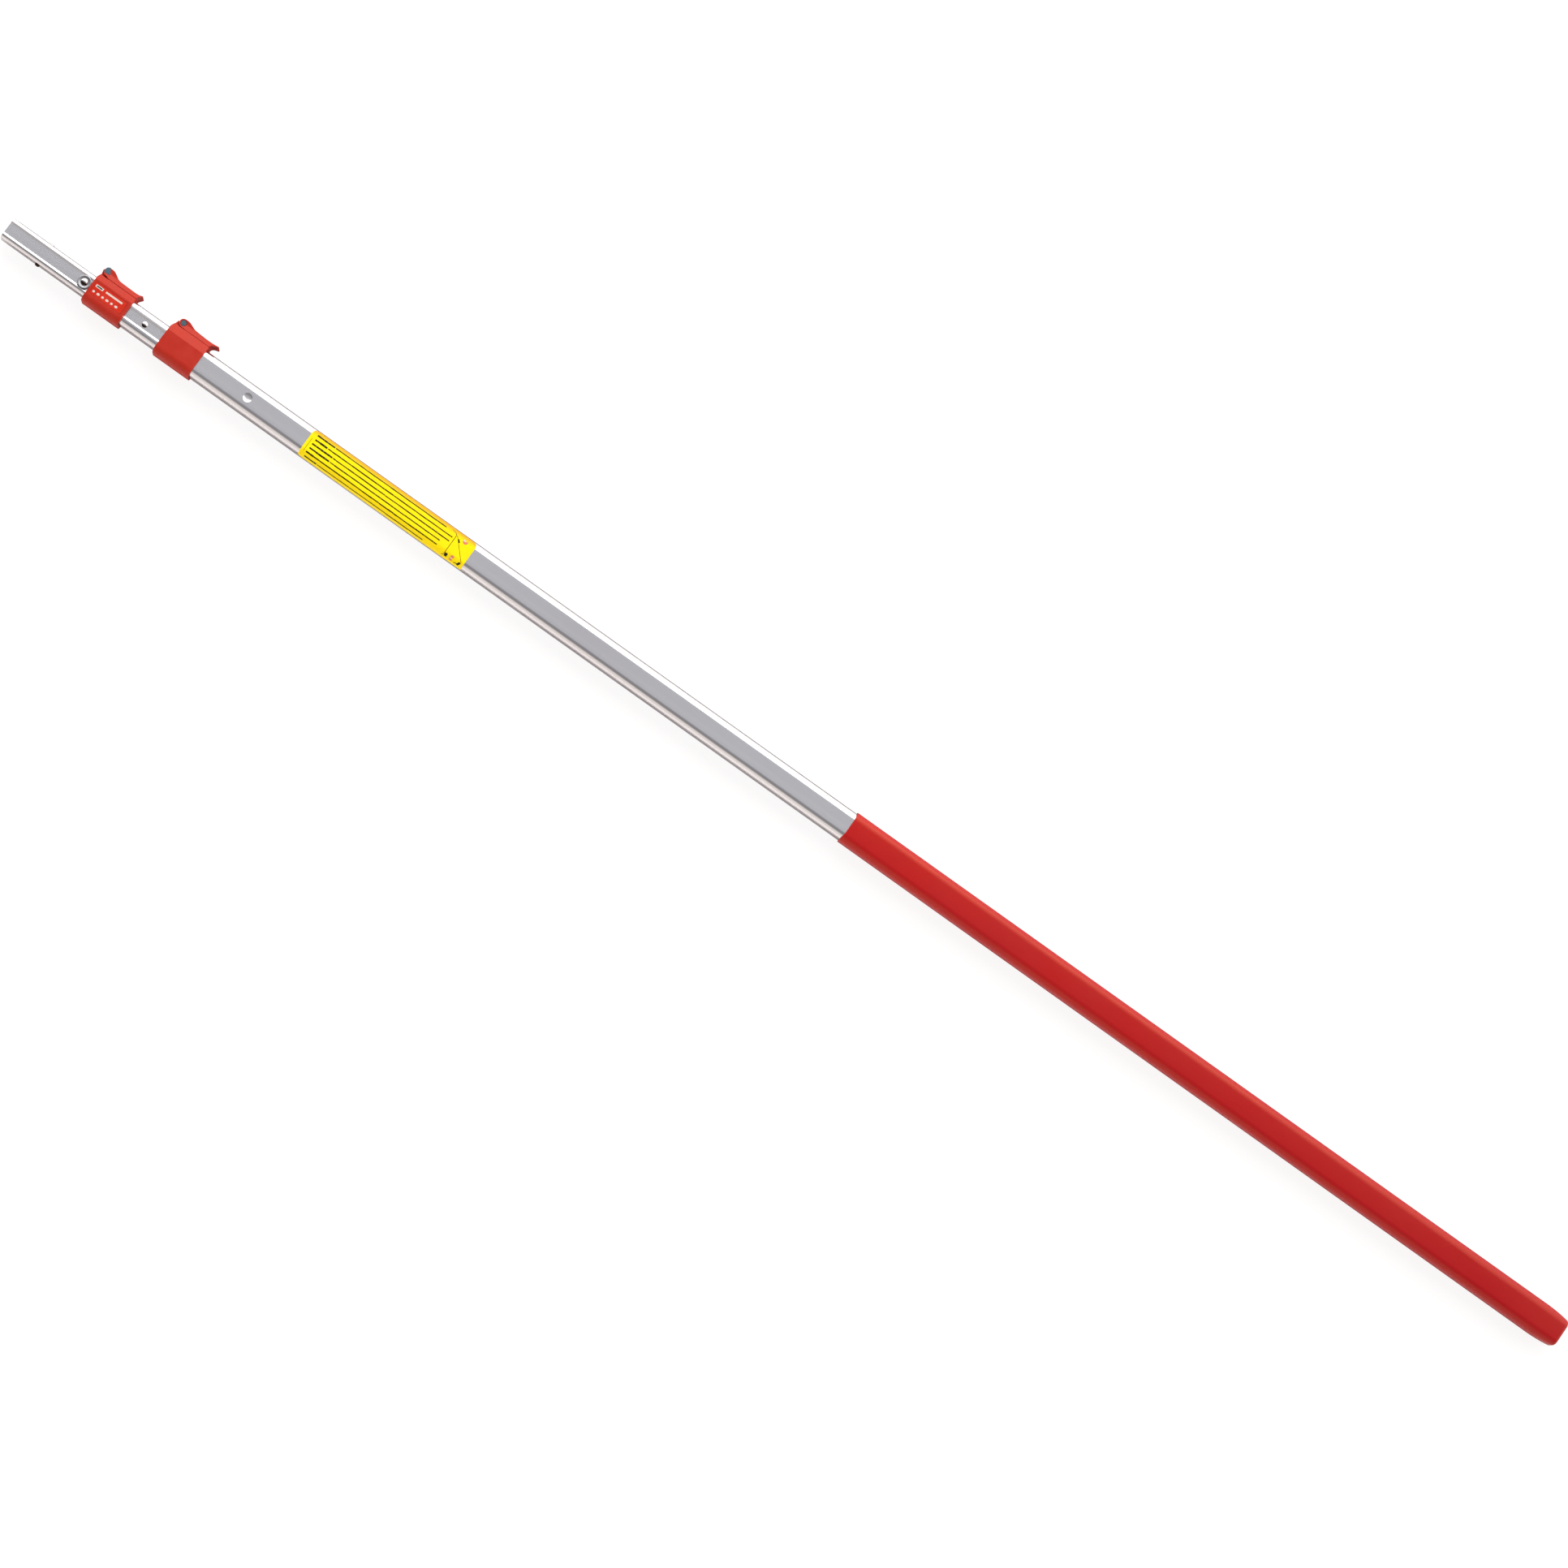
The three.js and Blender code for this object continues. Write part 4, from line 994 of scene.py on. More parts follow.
# %% Build the sleeve
butt, mouth = BUTT / MM, sleeve_high.x / MM
SLEEVE_GAP = 0.1                   # between the vinyl and the tube
wall = (sleeve_width - section_of("outer_tube")[0]) / 2 - SLEEVE_GAP
END_STATIONS = 8
TAPER_STATIONS = 14
SLEEVE_STATIONS = 60
MOUTH_STATIONS = 10
LIP_STATIONS = 4
END_POCKET_STEP = 1.6              # the pocket for the butt plug is narrower than the tube
rings = []
for step in range(END_STATIONS + 1):
    a = math.radians(90 * (1 - step / END_STATIONS))
    place = butt + SLEEVE_ROUND * (1 - math.sin(a))
    rings.append(sleeve_ring(place, SLEEVE_ROUND * (1 - math.cos(a)) + taper(place)))
for step in range(1, TAPER_STATIONS + 1):
    place = butt + SLEEVE_ROUND + (SLEEVE_TAPER_LENGTH - SLEEVE_ROUND) * step / TAPER_STATIONS
    rings.append(sleeve_ring(place, taper(place)))
for step in range(1, SLEEVE_STATIONS + 1):
    rings.append(sleeve_ring(place + (mouth - MOUTH_SAG_LENGTH - place) * step / SLEEVE_STATIONS, 0))
for step in range(1, MOUTH_STATIONS):
    along = (MOUTH_SAG_LENGTH - SLEEVE_LIP) * step / MOUTH_STATIONS
    rings.append(sleeve_ring(mouth - MOUTH_SAG_LENGTH + along, 0))
for step in range(LIP_STATIONS + 1):
    a = math.radians(90 * step / LIP_STATIONS)
    rings.append(sleeve_ring(mouth - SLEEVE_LIP * (1 - math.sin(a)), SLEEVE_LIP * (1 - math.cos(a))))
rings.append(sleeve_ring(mouth, wall))
rings.append(sleeve_ring(mouth - MOUTH_SAG_LENGTH, wall))
rings.append(sleeve_ring(butt + SLEEVE_END_WALL + TUBE_TRIM, wall))
rings.append(sleeve_ring(butt + SLEEVE_END_WALL + TUBE_TRIM, wall + END_POCKET_STEP))
rings.append(sleeve_ring(butt + SLEEVE_END_WALL, wall + END_POCKET_STEP))
sleeve = loft("visible_grip_sleeve", rings)
baked(sleeve, smooth=50)
placed(sleeve, "outer", VINYL, ["grip_sleeve"])
print("sleeve", len(sleeve.data.polygons), "faces, %.0f mm long" % (mouth - butt))

# %% [markdown]
# ## Moulded lock pieces
# The two collars, their levers, cams and pins are mouldings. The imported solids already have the
# right shape, but their edges are knife sharp, which no moulding is. Each is copied, its loose
# triangles are joined, and it is rebuilt as an even skin of small squares. Relaxing that skin
# rounds every edge by about half a millimetre, as a mould's own radius does.


# %% Make a prism
def prism(outline, low, high):
    """A mesh pushed along Z between two heights, from (x, y) corners in millimetres off the axis."""
    shape = bmesh.new()
    ends = [[shape.verts.new(from_axis(x, y, z)) for x, y in outline] for z in (low, high)]
    for i in range(len(outline)):
        j = (i + 1) % len(outline)
        shape.faces.new((ends[0][i], ends[0][j], ends[1][j], ends[1][i]))
    for end in ends:
        shape.faces.new(end)
    bmesh.ops.recalc_face_normals(shape, faces=shape.faces)
    mesh = bpy.data.meshes.new("prism")
    shape.to_mesh(mesh)
    shape.free()
    return mesh


print("prisms can be pushed")

# %% [markdown]
# The skin is made by three live modifiers: a voxel remesh, a smooth that relaxes it, and a
# decimate that thins out the flat parts again. Cutters and added prisms go in before the skin
# is made, so it runs over them as one piece, as plastic does.


# %% Rebuild a solid as a moulding
def moulded(node, body, material, skin=0.5, relax=6, keep=0.5, cut=(), add=(), change=None):
    """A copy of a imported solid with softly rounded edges. skin is the size of its squares in millimetres.

    cut and add are meshes taken away and joined on first, and change moves the copy's points."""
    piece = new_object("visible_" + node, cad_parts[node].data.copy())
    shape = bmesh.new()
    shape.from_mesh(piece.data)
    bmesh.ops.remove_doubles(shape, verts=shape.verts, dist=1e-6)
    if change:
        for point in shape.verts:
            point.co = change(point.co)
    shape.to_mesh(piece.data)
    shape.free()
    cut_away(piece, cut)
    shape = bmesh.new()
    shape.from_mesh(piece.data)
    for extra in add:
        shape.from_mesh(extra)
    shape.to_mesh(piece.data)
    shape.free()
    net = piece.modifiers.new("skin", "REMESH")
    net.mode = "VOXEL"
    net.voxel_size = skin * MM
    ease = piece.modifiers.new("ease", "SMOOTH")
    ease.factor = 0.5
    ease.iterations = relax
    thin = piece.modifiers.new("thin", "DECIMATE")
    thin.ratio = keep
    baked(piece, smooth=60)
    placed(piece, body, material, [node])
    print(node, len(piece.data.polygons), "faces")
    return piece


# %% [markdown]
# ## Lock details
# On the real lock the collar's front corner is cut back towards the pin, and a small web runs
# up from it in front of the lever's knuckle. The gap under the lever's flap is closed to a hair
# line. These are small prisms, cut from or added to the copy before its skin is rebuilt.

# %% Shape a collar's corner and web
CORNER_CUT = {"lower": -15.8, "upper": -13.2}     # where the collar's front edge turns back
CORNER_SLOPE = 0.34                               # millimetres back for each one outwards
KNUCKLE = 5.0
HAIR_LINE = 0.08
WEB_GAP = 0.4                                     # clear of the knuckle as it turns
WEB_TIP = 1.35                                    # how far its tip stands off the knuckle's own edge
WEB_INSET = {"lower": 1.8, "upper": 3.8}          # and clear of the pin's heads
SHELF_INSET = 0.1
ROOT = 1.2                                        # how deep the web is rooted in the collar
CUT_REACH = 3.0                                   # the cutter passes the collar by this
CUT_HALF = 30.0


def lock_extras(lock):
    """The cutters and added prisms of one collar."""
    low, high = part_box(lock + "_collar")
    pin = middle_of(lock + "_lever_pin")
    lever_low, lever_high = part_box(lock + "_lever")
    front, rear = high.x / MM, low.x / MM
    pin_x, pin_y = pin.x / MM, (pin.y - AXIS_Y) / MM
    flap = (lever_high.y - AXIS_Y) / MM + HAIR_LINE
    half = (lever_high.z - lever_low.z) / 2 / MM
    start = CORNER_CUT[lock]
    turn = front - CORNER_SLOPE * (start - flap)
    clear, above = front + CUT_REACH, flap - 3 * CUT_REACH
    cut = prism([(front, start), (turn, flap), (turn - 2, above), (clear, above), (clear, start)],
                -CUT_HALF, CUT_HALF)
    web = [(turn - 0.4, flap + ROOT), (turn, flap)]
    for reach, turns in ((KNUCKLE + WEB_TIP, (14, 6)), (KNUCKLE + WEB_GAP, (2, *range(12, 85, 12), 92))):
        for a in turns:
            a = math.radians(a)
            web.append((pin_x + reach * math.cos(a), pin_y + reach * math.sin(a)))
    web.append((pin_x - 0.3, flap + ROOT))
    shelf_start, shelf_end, foot = rear + 1.2, pin_x - KNUCKLE - 1, flap + 1.5
    shelf = [(shelf_start, foot), (shelf_start, flap), (shelf_end, flap), (shelf_end, foot)]
    web_half, shelf_half = half - WEB_INSET[lock], half - SHELF_INSET
    return [cut], [prism(web, -web_half, web_half), prism(shelf, -shelf_half, shelf_half)]


print("web insets", WEB_INSET)

# %% [markdown]
# ## Upper pin
# The upper pin's heads are wedges that fill the front of the lever's hump. They are made a fifth
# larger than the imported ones, and moved a little towards the hump's top. The pin's shank stays.

# %% Grow the wedge
WEDGE_GROWTH = 1.22
SHANK_RADIUS = 2.3
PIN_HEAD_SHIFT = Vector((0.2 * MM, -0.55 * MM, 0))


def grown_wedge(point):
    """The upper pin's heads, larger and nearer the hump's top, in the lever's flank."""
    centre = middle_of("upper_lever_pin")
    flat = Vector((point.x - centre.x, point.y - centre.y, 0))
    if flat.length < SHANK_RADIUS * MM:
        return point.copy()
    moved = centre + flat * WEDGE_GROWTH + PIN_HEAD_SHIFT
    return Vector((moved.x, moved.y, point.z))


print("wedge grown by %.0f %%" % (100 * (WEDGE_GROWTH - 1)))

# %% [markdown]
# ## The two locks
# Both locks are the same five mouldings at two sizes: a collar on the tube, a lever, the cam that
# it turns, the pin through both and the brake shoe under the cam. Small pieces get a finer skin.

# %% Mould the locks
for lock, body in (("lower", "outer"), ("upper", "middle")):
    cut, add = lock_extras(lock)
    moulded(lock + "_collar", body, RED, skin=0.4, relax=4, cut=cut, add=add)
    moulded(lock + "_lever", lock + "_lever", RED, skin=0.35, relax=6)
    moulded(lock + "_cam", lock + "_lever", BLUE_GREY, skin=0.35, relax=4)
    moulded(lock + "_lever_pin", lock + "_lever", BLUE_GREY, skin=0.2, relax=3,
            change=grown_wedge if lock == "upper" else None)
    moulded(lock + "_brake_shoe", lock + "_shoe", RUBBER, skin=0.4, relax=4)

# %% [markdown]
# ## Label
# The label is a strip of printed film, stuck over the face and round both corners. It is a flat
# sheet first, measured along the pole and across it, and is wrapped on the tube by one rule:
# across the face it lies flat, and past either corner it follows an arc.

# %% Wrap a flat sheet on the tube
face_half = section_of("outer_tube")[0] / 2 - CORNER["outer_tube"]
tube_top = section_of("outer_tube")[1] / 2 - CORNER["outer_tube"]


def wrapped(x, across, lift):
    """The place of a point of the sheet: along the pole, across it from the middle, and off the tube."""
    r = CORNER["outer_tube"] + lift
    lever_turn = max(0.0, (-face_half - across) / r)
    far_turn = min(max(0.0, (across - face_half) / r), math.pi / 2)
    down = max(0.0, across - face_half - r * math.pi / 2)
    flat = max(-face_half, min(face_half, across))
    y = flat - r * math.sin(lever_turn) + r * math.sin(far_turn)
    z = tube_top + r * (math.cos(lever_turn) + math.cos(far_turn) - 1) - down
    return from_axis(x, y, z)


print("flat face %.1f mm across" % (2 * face_half))

# %% [markdown]
# The film goes most of a quarter turn round the lever side, and all of one and 4 mm more round
# the other. Its corners are rounded, as a die-cut label's are, so that they don't lift. The
# sheet has closer rows of points near its two ends, where the corners need them.

# %% Cut and lay the film
FILM_LIFT = 0.28                   # its outer face stands this far off the tube
FILM_THICKNESS = 0.16
LABEL_WRAP = math.radians(55)
LABEL_DROP = 4.0
LABEL_CORNER = 6.5
label_low, label_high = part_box("label")
film_radius = CORNER["outer_tube"] + FILM_LIFT
label_left = -face_half - film_radius * LABEL_WRAP
label_right = face_half + film_radius * math.pi / 2 + LABEL_DROP
label_start, label_end = label_low.x / MM, label_high.x / MM


def film_sheet(name, x0, x1, a0, a1, corner, lift, step=5.6, across_steps=40):
    """A sheet with rounded corners, wrapped on the tube."""
    ends = [x0 + corner * (1 - math.cos(math.radians(9 * i))) for i in range(10)]
    middle = int((x1 - x0 - 2 * corner) / step) + 1
    stations = ends + [x0 + corner + (x1 - x0 - 2 * corner) * i / middle for i in range(1, middle)]
    stations += [x0 + x1 - x for x in reversed(ends)]
    points, faces = [], []
    for x in stations:
        near = min(x - x0, x1 - x)
        cut = corner - math.sqrt(max(0.0, corner ** 2 - (corner - near) ** 2)) if near < corner else 0.0
        for i in range(across_steps + 1):
            points.append(wrapped(x, a0 + cut + (a1 - a0 - 2 * cut) * i / across_steps, lift))
    row = across_steps + 1
    for s in range(len(stations) - 1):
        for i in range(across_steps):
            k = s * row + i
            faces.append((k, k + row, k + row + 1, k + 1))
    mesh = bpy.data.meshes.new(name)
    mesh.from_pydata(points, [], faces)
    made = new_object(name, mesh)
    shape = bmesh.new()
    shape.from_mesh(mesh)
    bmesh.ops.recalc_face_normals(shape, faces=shape.faces)
    if sum(f.normal.z for f in shape.faces) < 0:
        bmesh.ops.reverse_faces(shape, faces=shape.faces)
    shape.to_mesh(mesh)
    shape.free()
    return made


film = film_sheet("visible_label", label_start, label_end, label_left, label_right, LABEL_CORNER, FILM_LIFT)
body_of_film = film.modifiers.new("thickness", "SOLIDIFY")
body_of_film.thickness = FILM_THICKNESS * MM
body_of_film.offset = -1
baked(film, smooth=40)
placed(film, "outer", YELLOW, ["label"])
print("label %.0f mm long, %.0f mm across" % (label_end - label_start, label_right - label_left))

# %% [markdown]
# ## Label print
# The print is six lines of small dark bars in place of words, a thin rule, a curved divider and
# a few plain marks. Each bar is one point of a base mesh that knows its length and height. A
# node tree puts a bar, or a round spot, on every point and wraps the result on the tube with the
# same rule as the film, worked out with math nodes.


# %% Build the print tree
def make_print():
    """Bars on points, wrapped round the tube. X is along the pole and Y is across it, in metres."""
    tree, start, end = geometry_tree(
        "printed_bars",
        [("Face Half", FLOAT, 0.008), ("Corner", FLOAT, 0.009), ("Corner Height", FLOAT, 0.006),
         ("Round", "NodeSocketBool", False), ("Material", "NodeSocketMaterial", None)])
    bar = add_node(tree, "GeometryNodeMeshGrid",
                   inputs={"Size X": 1.0, "Size Y": 1.0, "Vertices X": 3, "Vertices Y": 3})
    disc = add_node(tree, "GeometryNodeMeshCircle", fill_type="TRIANGLE_FAN",
                    inputs={"Vertices": 20, "Radius": 0.5})
    choice = add_node(tree, "GeometryNodeSwitch", input_type="GEOMETRY")
    length, height, tilt = (
        add_node(tree, "GeometryNodeInputNamedAttribute", data_type="FLOAT", inputs={"Name": name})
        for name in ("bar_length", "bar_height", "bar_tilt"))
    size = add_node(tree, "ShaderNodeCombineXYZ", inputs={"Z": 1.0})
    turn = add_node(tree, "ShaderNodeCombineXYZ")
    put = add_node(tree, "GeometryNodeInstanceOnPoints")
    real = add_node(tree, "GeometryNodeRealizeInstances")
    where = add_node(tree, "GeometryNodeInputPosition")
    split = add_node(tree, "ShaderNodeSeparateXYZ")
    wire(tree, (start.outputs["Geometry"], put.inputs["Points"]),
         (choice.outputs[0], put.inputs["Instance"]), (bar.outputs["Mesh"], choice.inputs["False"]),
         (disc.outputs["Mesh"], choice.inputs["True"]),
         (start.outputs["Round"], choice.inputs["Switch"]),
         (length.outputs["Attribute"], size.inputs["X"]), (height.outputs["Attribute"], size.inputs["Y"]),
         (size.outputs[0], put.inputs["Scale"]), (tilt.outputs["Attribute"], turn.inputs["Z"]),
         (turn.outputs[0], put.inputs["Rotation"]), (put.outputs[0], real.inputs["Geometry"]),
         (where.outputs[0], split.inputs[0]))

    def calc(operation, *values):
        made = add_node(tree, "ShaderNodeMath", operation=operation)
        for socket, value in zip(made.inputs, values):
            if isinstance(value, (int, float)):
                socket.default_value = value
            else:
                tree.links.new(value, socket)
        return made.outputs[0]

    across, half, r = split.outputs["Y"], start.outputs["Face Half"], start.outputs["Corner"]
    lever_turn = calc("DIVIDE", calc("MAXIMUM", calc("SUBTRACT", calc("MULTIPLY", across, -1), half), 0), r)
    far_turn = calc("DIVIDE", calc("MAXIMUM", calc("SUBTRACT", across, half), 0), r)
    flat = calc("MAXIMUM", calc("MINIMUM", across, half), calc("MULTIPLY", half, -1))
    bend = calc("SUBTRACT", calc("SINE", far_turn), calc("SINE", lever_turn))
    rise = calc("SUBTRACT", calc("ADD", calc("COSINE", lever_turn), calc("COSINE", far_turn)), 1)
    y = calc("ADD", calc("ADD", flat, calc("MULTIPLY", bend, r)), AXIS_Y)
    z = calc("ADD", calc("ADD", start.outputs["Corner Height"], calc("MULTIPLY", rise, r)), AXIS_Z)
    wrap = add_node(tree, "ShaderNodeCombineXYZ")
    move = add_node(tree, "GeometryNodeSetPosition")
    paint = add_node(tree, "GeometryNodeSetMaterial")
    wire(tree, (split.outputs["X"], wrap.inputs["X"]), (y, wrap.inputs["Y"]), (z, wrap.inputs["Z"]),
         (real.outputs[0], move.inputs["Geometry"]), (wrap.outputs[0], move.inputs["Position"]),
         (move.outputs[0], paint.inputs["Geometry"]), (start.outputs["Material"], paint.inputs["Material"]),
         (paint.outputs[0], end.inputs["Geometry"]))
    return tree


PRINT = make_print()
print("print:", len(PRINT.nodes), "nodes")

# %% [markdown]
# A print is a base mesh of loose points. Three attributes on the points say how long and how
# high each mark is and how it is tilted. On a flat face the same tree is given a face so wide
# that nothing reaches a corner.

# %% Print marks on the film or on a flat face
INK_LIFT = 0.03
NO_CORNER = 50.0                   # half the width of a face that has no corners to wrap round
BAR_SCALES = {"bar_length": (2, MM), "bar_height": (3, MM), "bar_tilt": (4, math.pi / 180)}


def print_bars(name, bars, material, rounded_ends=False, lift=INK_LIFT, body="outer", slot="yellow_label",
               flat_height=None):
    """Marks given as (along, across, length, height, tilt in degrees), printed on the film, or on a
    flat face at flat_height."""
    mesh = bpy.data.meshes.new(name)
    mesh.from_pydata([(x * MM, across * MM, 0) for x, across, *_ in bars], [], [])
    for label, (column, scale) in BAR_SCALES.items():
        values = mesh.attributes.new(label, "FLOAT", "POINT")
        values.data.foreach_set("value", [bar[column] * scale for bar in bars])
    made = new_object(name, mesh)
    stick = made.modifiers.new("print", "NODES")
    stick.node_group = PRINT
    half, radius, height = face_half, film_radius + lift, tube_top
    if flat_height is not None:
        half, radius, height = NO_CORNER, 1.0, flat_height + lift - 1.0
    inputs_by_name(stick, Face_Half=half * MM, Corner=radius * MM, Corner_Height=height * MM,
                   Round=rounded_ends, Material=material)
    baked(made, smooth=0)
    return placed(made, body, material)


print(len(BAR_SCALES), "attributes for each mark")

# %% [markdown]
# The six lines run along the label. Each starts with heavier bars and ends at its own place. The
# lengths and gaps are random but seeded, so that every run prints the same label.

# %% Set out the lines
TEXT_LINES = [                     # across the label, where the line ends, where its heavy start ends
    (-10.7, 457.4, 609.5),
    (-5.2, 446.5, 615.0),
    (0.2, 446.9, 602.5),
    (5.6, 455.6, 606.0),
    (11.0, 455.6, 619.0),
    (16.7, 471.5, 615.5),
]
WORD_HEIGHT = 1.3
BOLD_HEIGHT = 2.0
BOLD_GAP = 0.9                     # the wider gap after a line's heavy start
LINE_START = 630.0
RAGGED = 1.5                       # how unevenly lines start, and the least last word
letters = random.Random(12)
bars = []
for across, end, bold_end in TEXT_LINES:
    x = LINE_START - letters.uniform(0, RAGGED)
    while x > end + RAGGED:
        bold = x > bold_end
        word = min(letters.uniform(2.5, 6.0) if bold else letters.uniform(3.0, 13.0), x - end)
        thick = (BOLD_HEIGHT if bold else WORD_HEIGHT) * letters.uniform(0.85, 1.12)
        bars.append((x - word / 2, across + letters.uniform(-0.10, 0.10), word, thick, 0))
        x -= word + letters.uniform(0.10, 0.24) + (BOLD_GAP if bold and x - word <= bold_end else 0)
print(len(bars), "bars in", len(TEXT_LINES), "lines")

# %% [markdown]
# The last panel of the label is set apart by a curved divider, with a slanting stroke, two dark
# blocks and three spots in place of drawings. A rule is a run of short bars end to end, so that
# it bends with the film.


# %% Draw the rules, the panel and its spots
def rule(start, stop, thick, pieces):
    """Bars end to end from one place on the film to another, each (along, across)."""
    a, b = Vector(start), Vector(stop)
    step = (b - a) / pieces
    tilt = math.degrees(math.atan2(step.y, step.x))
    return [(*(a + step * (i + 0.5)), step.length * 1.03, thick, tilt) for i in range(pieces)]


PANEL = 443.8                      # where the last panel of the label starts
START_RULE = LINE_START + 2.4
RULES = [                          # from, to, thickness, pieces, with places along counted from the panel
    ((START_RULE - PANEL, -4.8), (START_RULE - PANEL, 11.6), 0.45, 9),
    ((0, -9.4), (0, 14.6), 0.62, 14),
    ((0, -9.4), (2.2, -11.8), 0.62, 3),
    ((2.2, -11.8), (7, -12.9), 0.5, 3),
    ((0, 14.6), (2.2, 18.0), 0.7, 4),
    ((-0.6, -10.2), (-21.5, 12.4), 0.5, 16),
    ((-2.3, 12.4), (-2.3, 17.2), 3.4, 4),
    ((-20.4, 12.8), (-18.0, 17.6), 2.6, 4),
    ((-4.2, -7.6), (-7.0, -4.6), 1.3, 2),
    ((-13.4, 17.4), (-17.4, 16.0), 1.0, 3),
]
for (x0, a0), (x1, a1), thick, pieces in RULES:
    bars += rule((PANEL + x0, a0), (PANEL + x1, a1), thick, pieces)
print_bars("label_words", bars, INK)
SPOTS = [
    (PANEL - 12.0, -9.2, 6.0, 5.4, 0),
    (PANEL - 9.8, 12.2, 4.4, 3.4, 20),
    (PANEL - 9.4, 16.4, 4.0, 3.4, -10),
]
SPOT_MIDDLES = [(PANEL - 10.4, -10.0, 2.6, 2.2, 0), (PANEL - 9.4, 14.3, 1.6, 3.2, 0)]
print_bars("label_spots", SPOTS, PINK_INK, rounded_ends=True)
print_bars("label_spot_middles", SPOT_MIDDLES, CREAM_INK, rounded_ends=True, lift=0.05)
print(len(RULES), "rules and", len(SPOTS), "spots")

# %% [markdown]
# ## Rivets
# A stop rivet is a shank with a domed head, which is all that shows. It could be a sphere cut in
# half, but turning the whole rivet from one profile keeps it a single closed piece. Its place
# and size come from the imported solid's box.

# %% Turn the rivets
RIVET_SHANK = 2.1
HEAD_EDGE = 0.35                   # the straight edge under the dome
HEAD_CHAMFER = 0.25


def domed(head, height, shank, tail, steps=10):
    """A rivet's profile from its tail up to the top of its dome."""
    foot = [(0, -tail), (shank, -tail), (shank, 0), (head - HEAD_CHAMFER, 0), (head, HEAD_EDGE)]
    points = rounded_profile(foot, [0.3, 0.1, 0.1])
    for step in range(1, steps + 1):
        a = math.radians(90 * step / steps)
        reach = head * math.cos(a) if step < steps else 0
        points.append((reach, HEAD_EDGE + (height - HEAD_EDGE) * math.sin(a)))
    return points


def rivet_of(node, body, dome):
    """A domed rivet in place of a packed one, whose dome is the given height."""
    low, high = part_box(node)
    centre = (low + high) / 2
    head = (high.x - low.x) / 2 / MM
    seat = Vector((centre.x, centre.y, high.z - dome * MM))
    mesh = turned(domed(head, dome, RIVET_SHANK, (seat.z - low.z) / MM), (0, 0, 1), seat, 56)
    piece = baked(new_object("visible_" + node, mesh), smooth=40)
    # The dome's half away from the levers is painted shade, through this finish.
    return placed(piece, body, RIVET_PAINTED_SHADE, [node])


RIVET_DOMES = {"middle_stop_rivet": ("middle", 2.2), "inner_stop_rivet": ("inner", 2.5)}
for node, (body, dome) in RIVET_DOMES.items():
    rivet_of(node, body, dome)
print(len(RIVET_DOMES), "rivets")

# %% [markdown]
# ## Washer
# The washer under the inner stop rivet is a dished ring of sheet zinc. Its profile goes once
# round the section of the ring and closes on itself.

# %% Turn the washer
WASHER_BORE = 2.45
DISH_START, DISH_END = 4.3, 6.7    # radii between which the sheet rises
DISH_RISE = 0.6
washer_low, washer_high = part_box("inner_stop_washer")
washer_radius = (washer_high.x - washer_low.x) / 2 / MM
washer_profile = rounded_profile(
    [(WASHER_BORE, -DISH_RISE), (DISH_START, -DISH_RISE), (DISH_END, 0), (washer_radius, 0.0),
     (washer_radius, 0.6), (washer_radius - 0.8, 0.8), (6.0, 0.7), (DISH_START, 0.2), (WASHER_BORE, 0.2),
     (WASHER_BORE, -DISH_RISE)], [0.3, 0.4, 0.15, 0.2, 0.2, 0.5, 0.3, 0.1])
washer_seat = Vector(((washer_low.x + washer_high.x) / 2, AXIS_Y, washer_low.z + DISH_RISE * MM))
washer = new_object("visible_inner_stop_washer", turned(washer_profile, (0, 0, 1), washer_seat, 64))
placed(baked(washer, smooth=40), "inner", ZINC, ["inner_stop_washer"])
print("washer %.1f mm across" % (2 * washer_radius))

# %% [markdown]
# ## Snap buttons
# A snap button is a round pin with a domed end. Its flange, inside the tube, keeps it from
# falling out of its hole, and the spring pushes on the flange.

# %% Turn the buttons
BUTTON_RADIUS = 2.8
BUTTON_DOME = 1.4
FLANGE_THICKNESS = 0.9
DOME_STEPS = 10
for name in ("near", "far"):
    low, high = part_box("snap_button_" + name)
    side = 1 if low.y + high.y > 2 * AXIS_Y else -1
    foot = abs((low.y if side > 0 else high.y) - AXIS_Y) / MM
    top = abs((high.y if side > 0 else low.y) - AXIS_Y) / MM
    flange, lip = (high.x - low.x) / 2 / MM, foot + FLANGE_THICKNESS
    button_profile = rounded_profile(
        [(0, foot), (flange, foot), (flange, lip), (BUTTON_RADIUS, lip), (BUTTON_RADIUS, top - BUTTON_DOME)],
        [0.2, 0.2, 0.15])
    for step in range(1, DOME_STEPS + 1):
        a = math.radians(90 * step / DOME_STEPS)
        reach = BUTTON_RADIUS * math.cos(a) if step < DOME_STEPS else 0
        button_profile.append((reach, top - BUTTON_DOME + BUTTON_DOME * math.sin(a)))
    seat = Vector(((low.x + high.x) / 2, AXIS_Y, AXIS_Z))
    button = new_object("visible_snap_button_" + name, turned(button_profile, (0, side, 0), seat, 48))
    # The far button lies wholly on the painted-shade side of this finish, so it is painted nearly black.
    placed(baked(button, smooth=40), name + "_button", RIVET_PAINTED_SHADE, ["snap_button_" + name])
    print("button", name, "stands out to %.1f mm" % top)

# %% [markdown]
# ## Plate marks
# The upper lock's plate carries a few plain cream shapes in place of a name: a bar with a dark
# middle, a long bar, and a row of pips. They are printed by the same tree as the label.

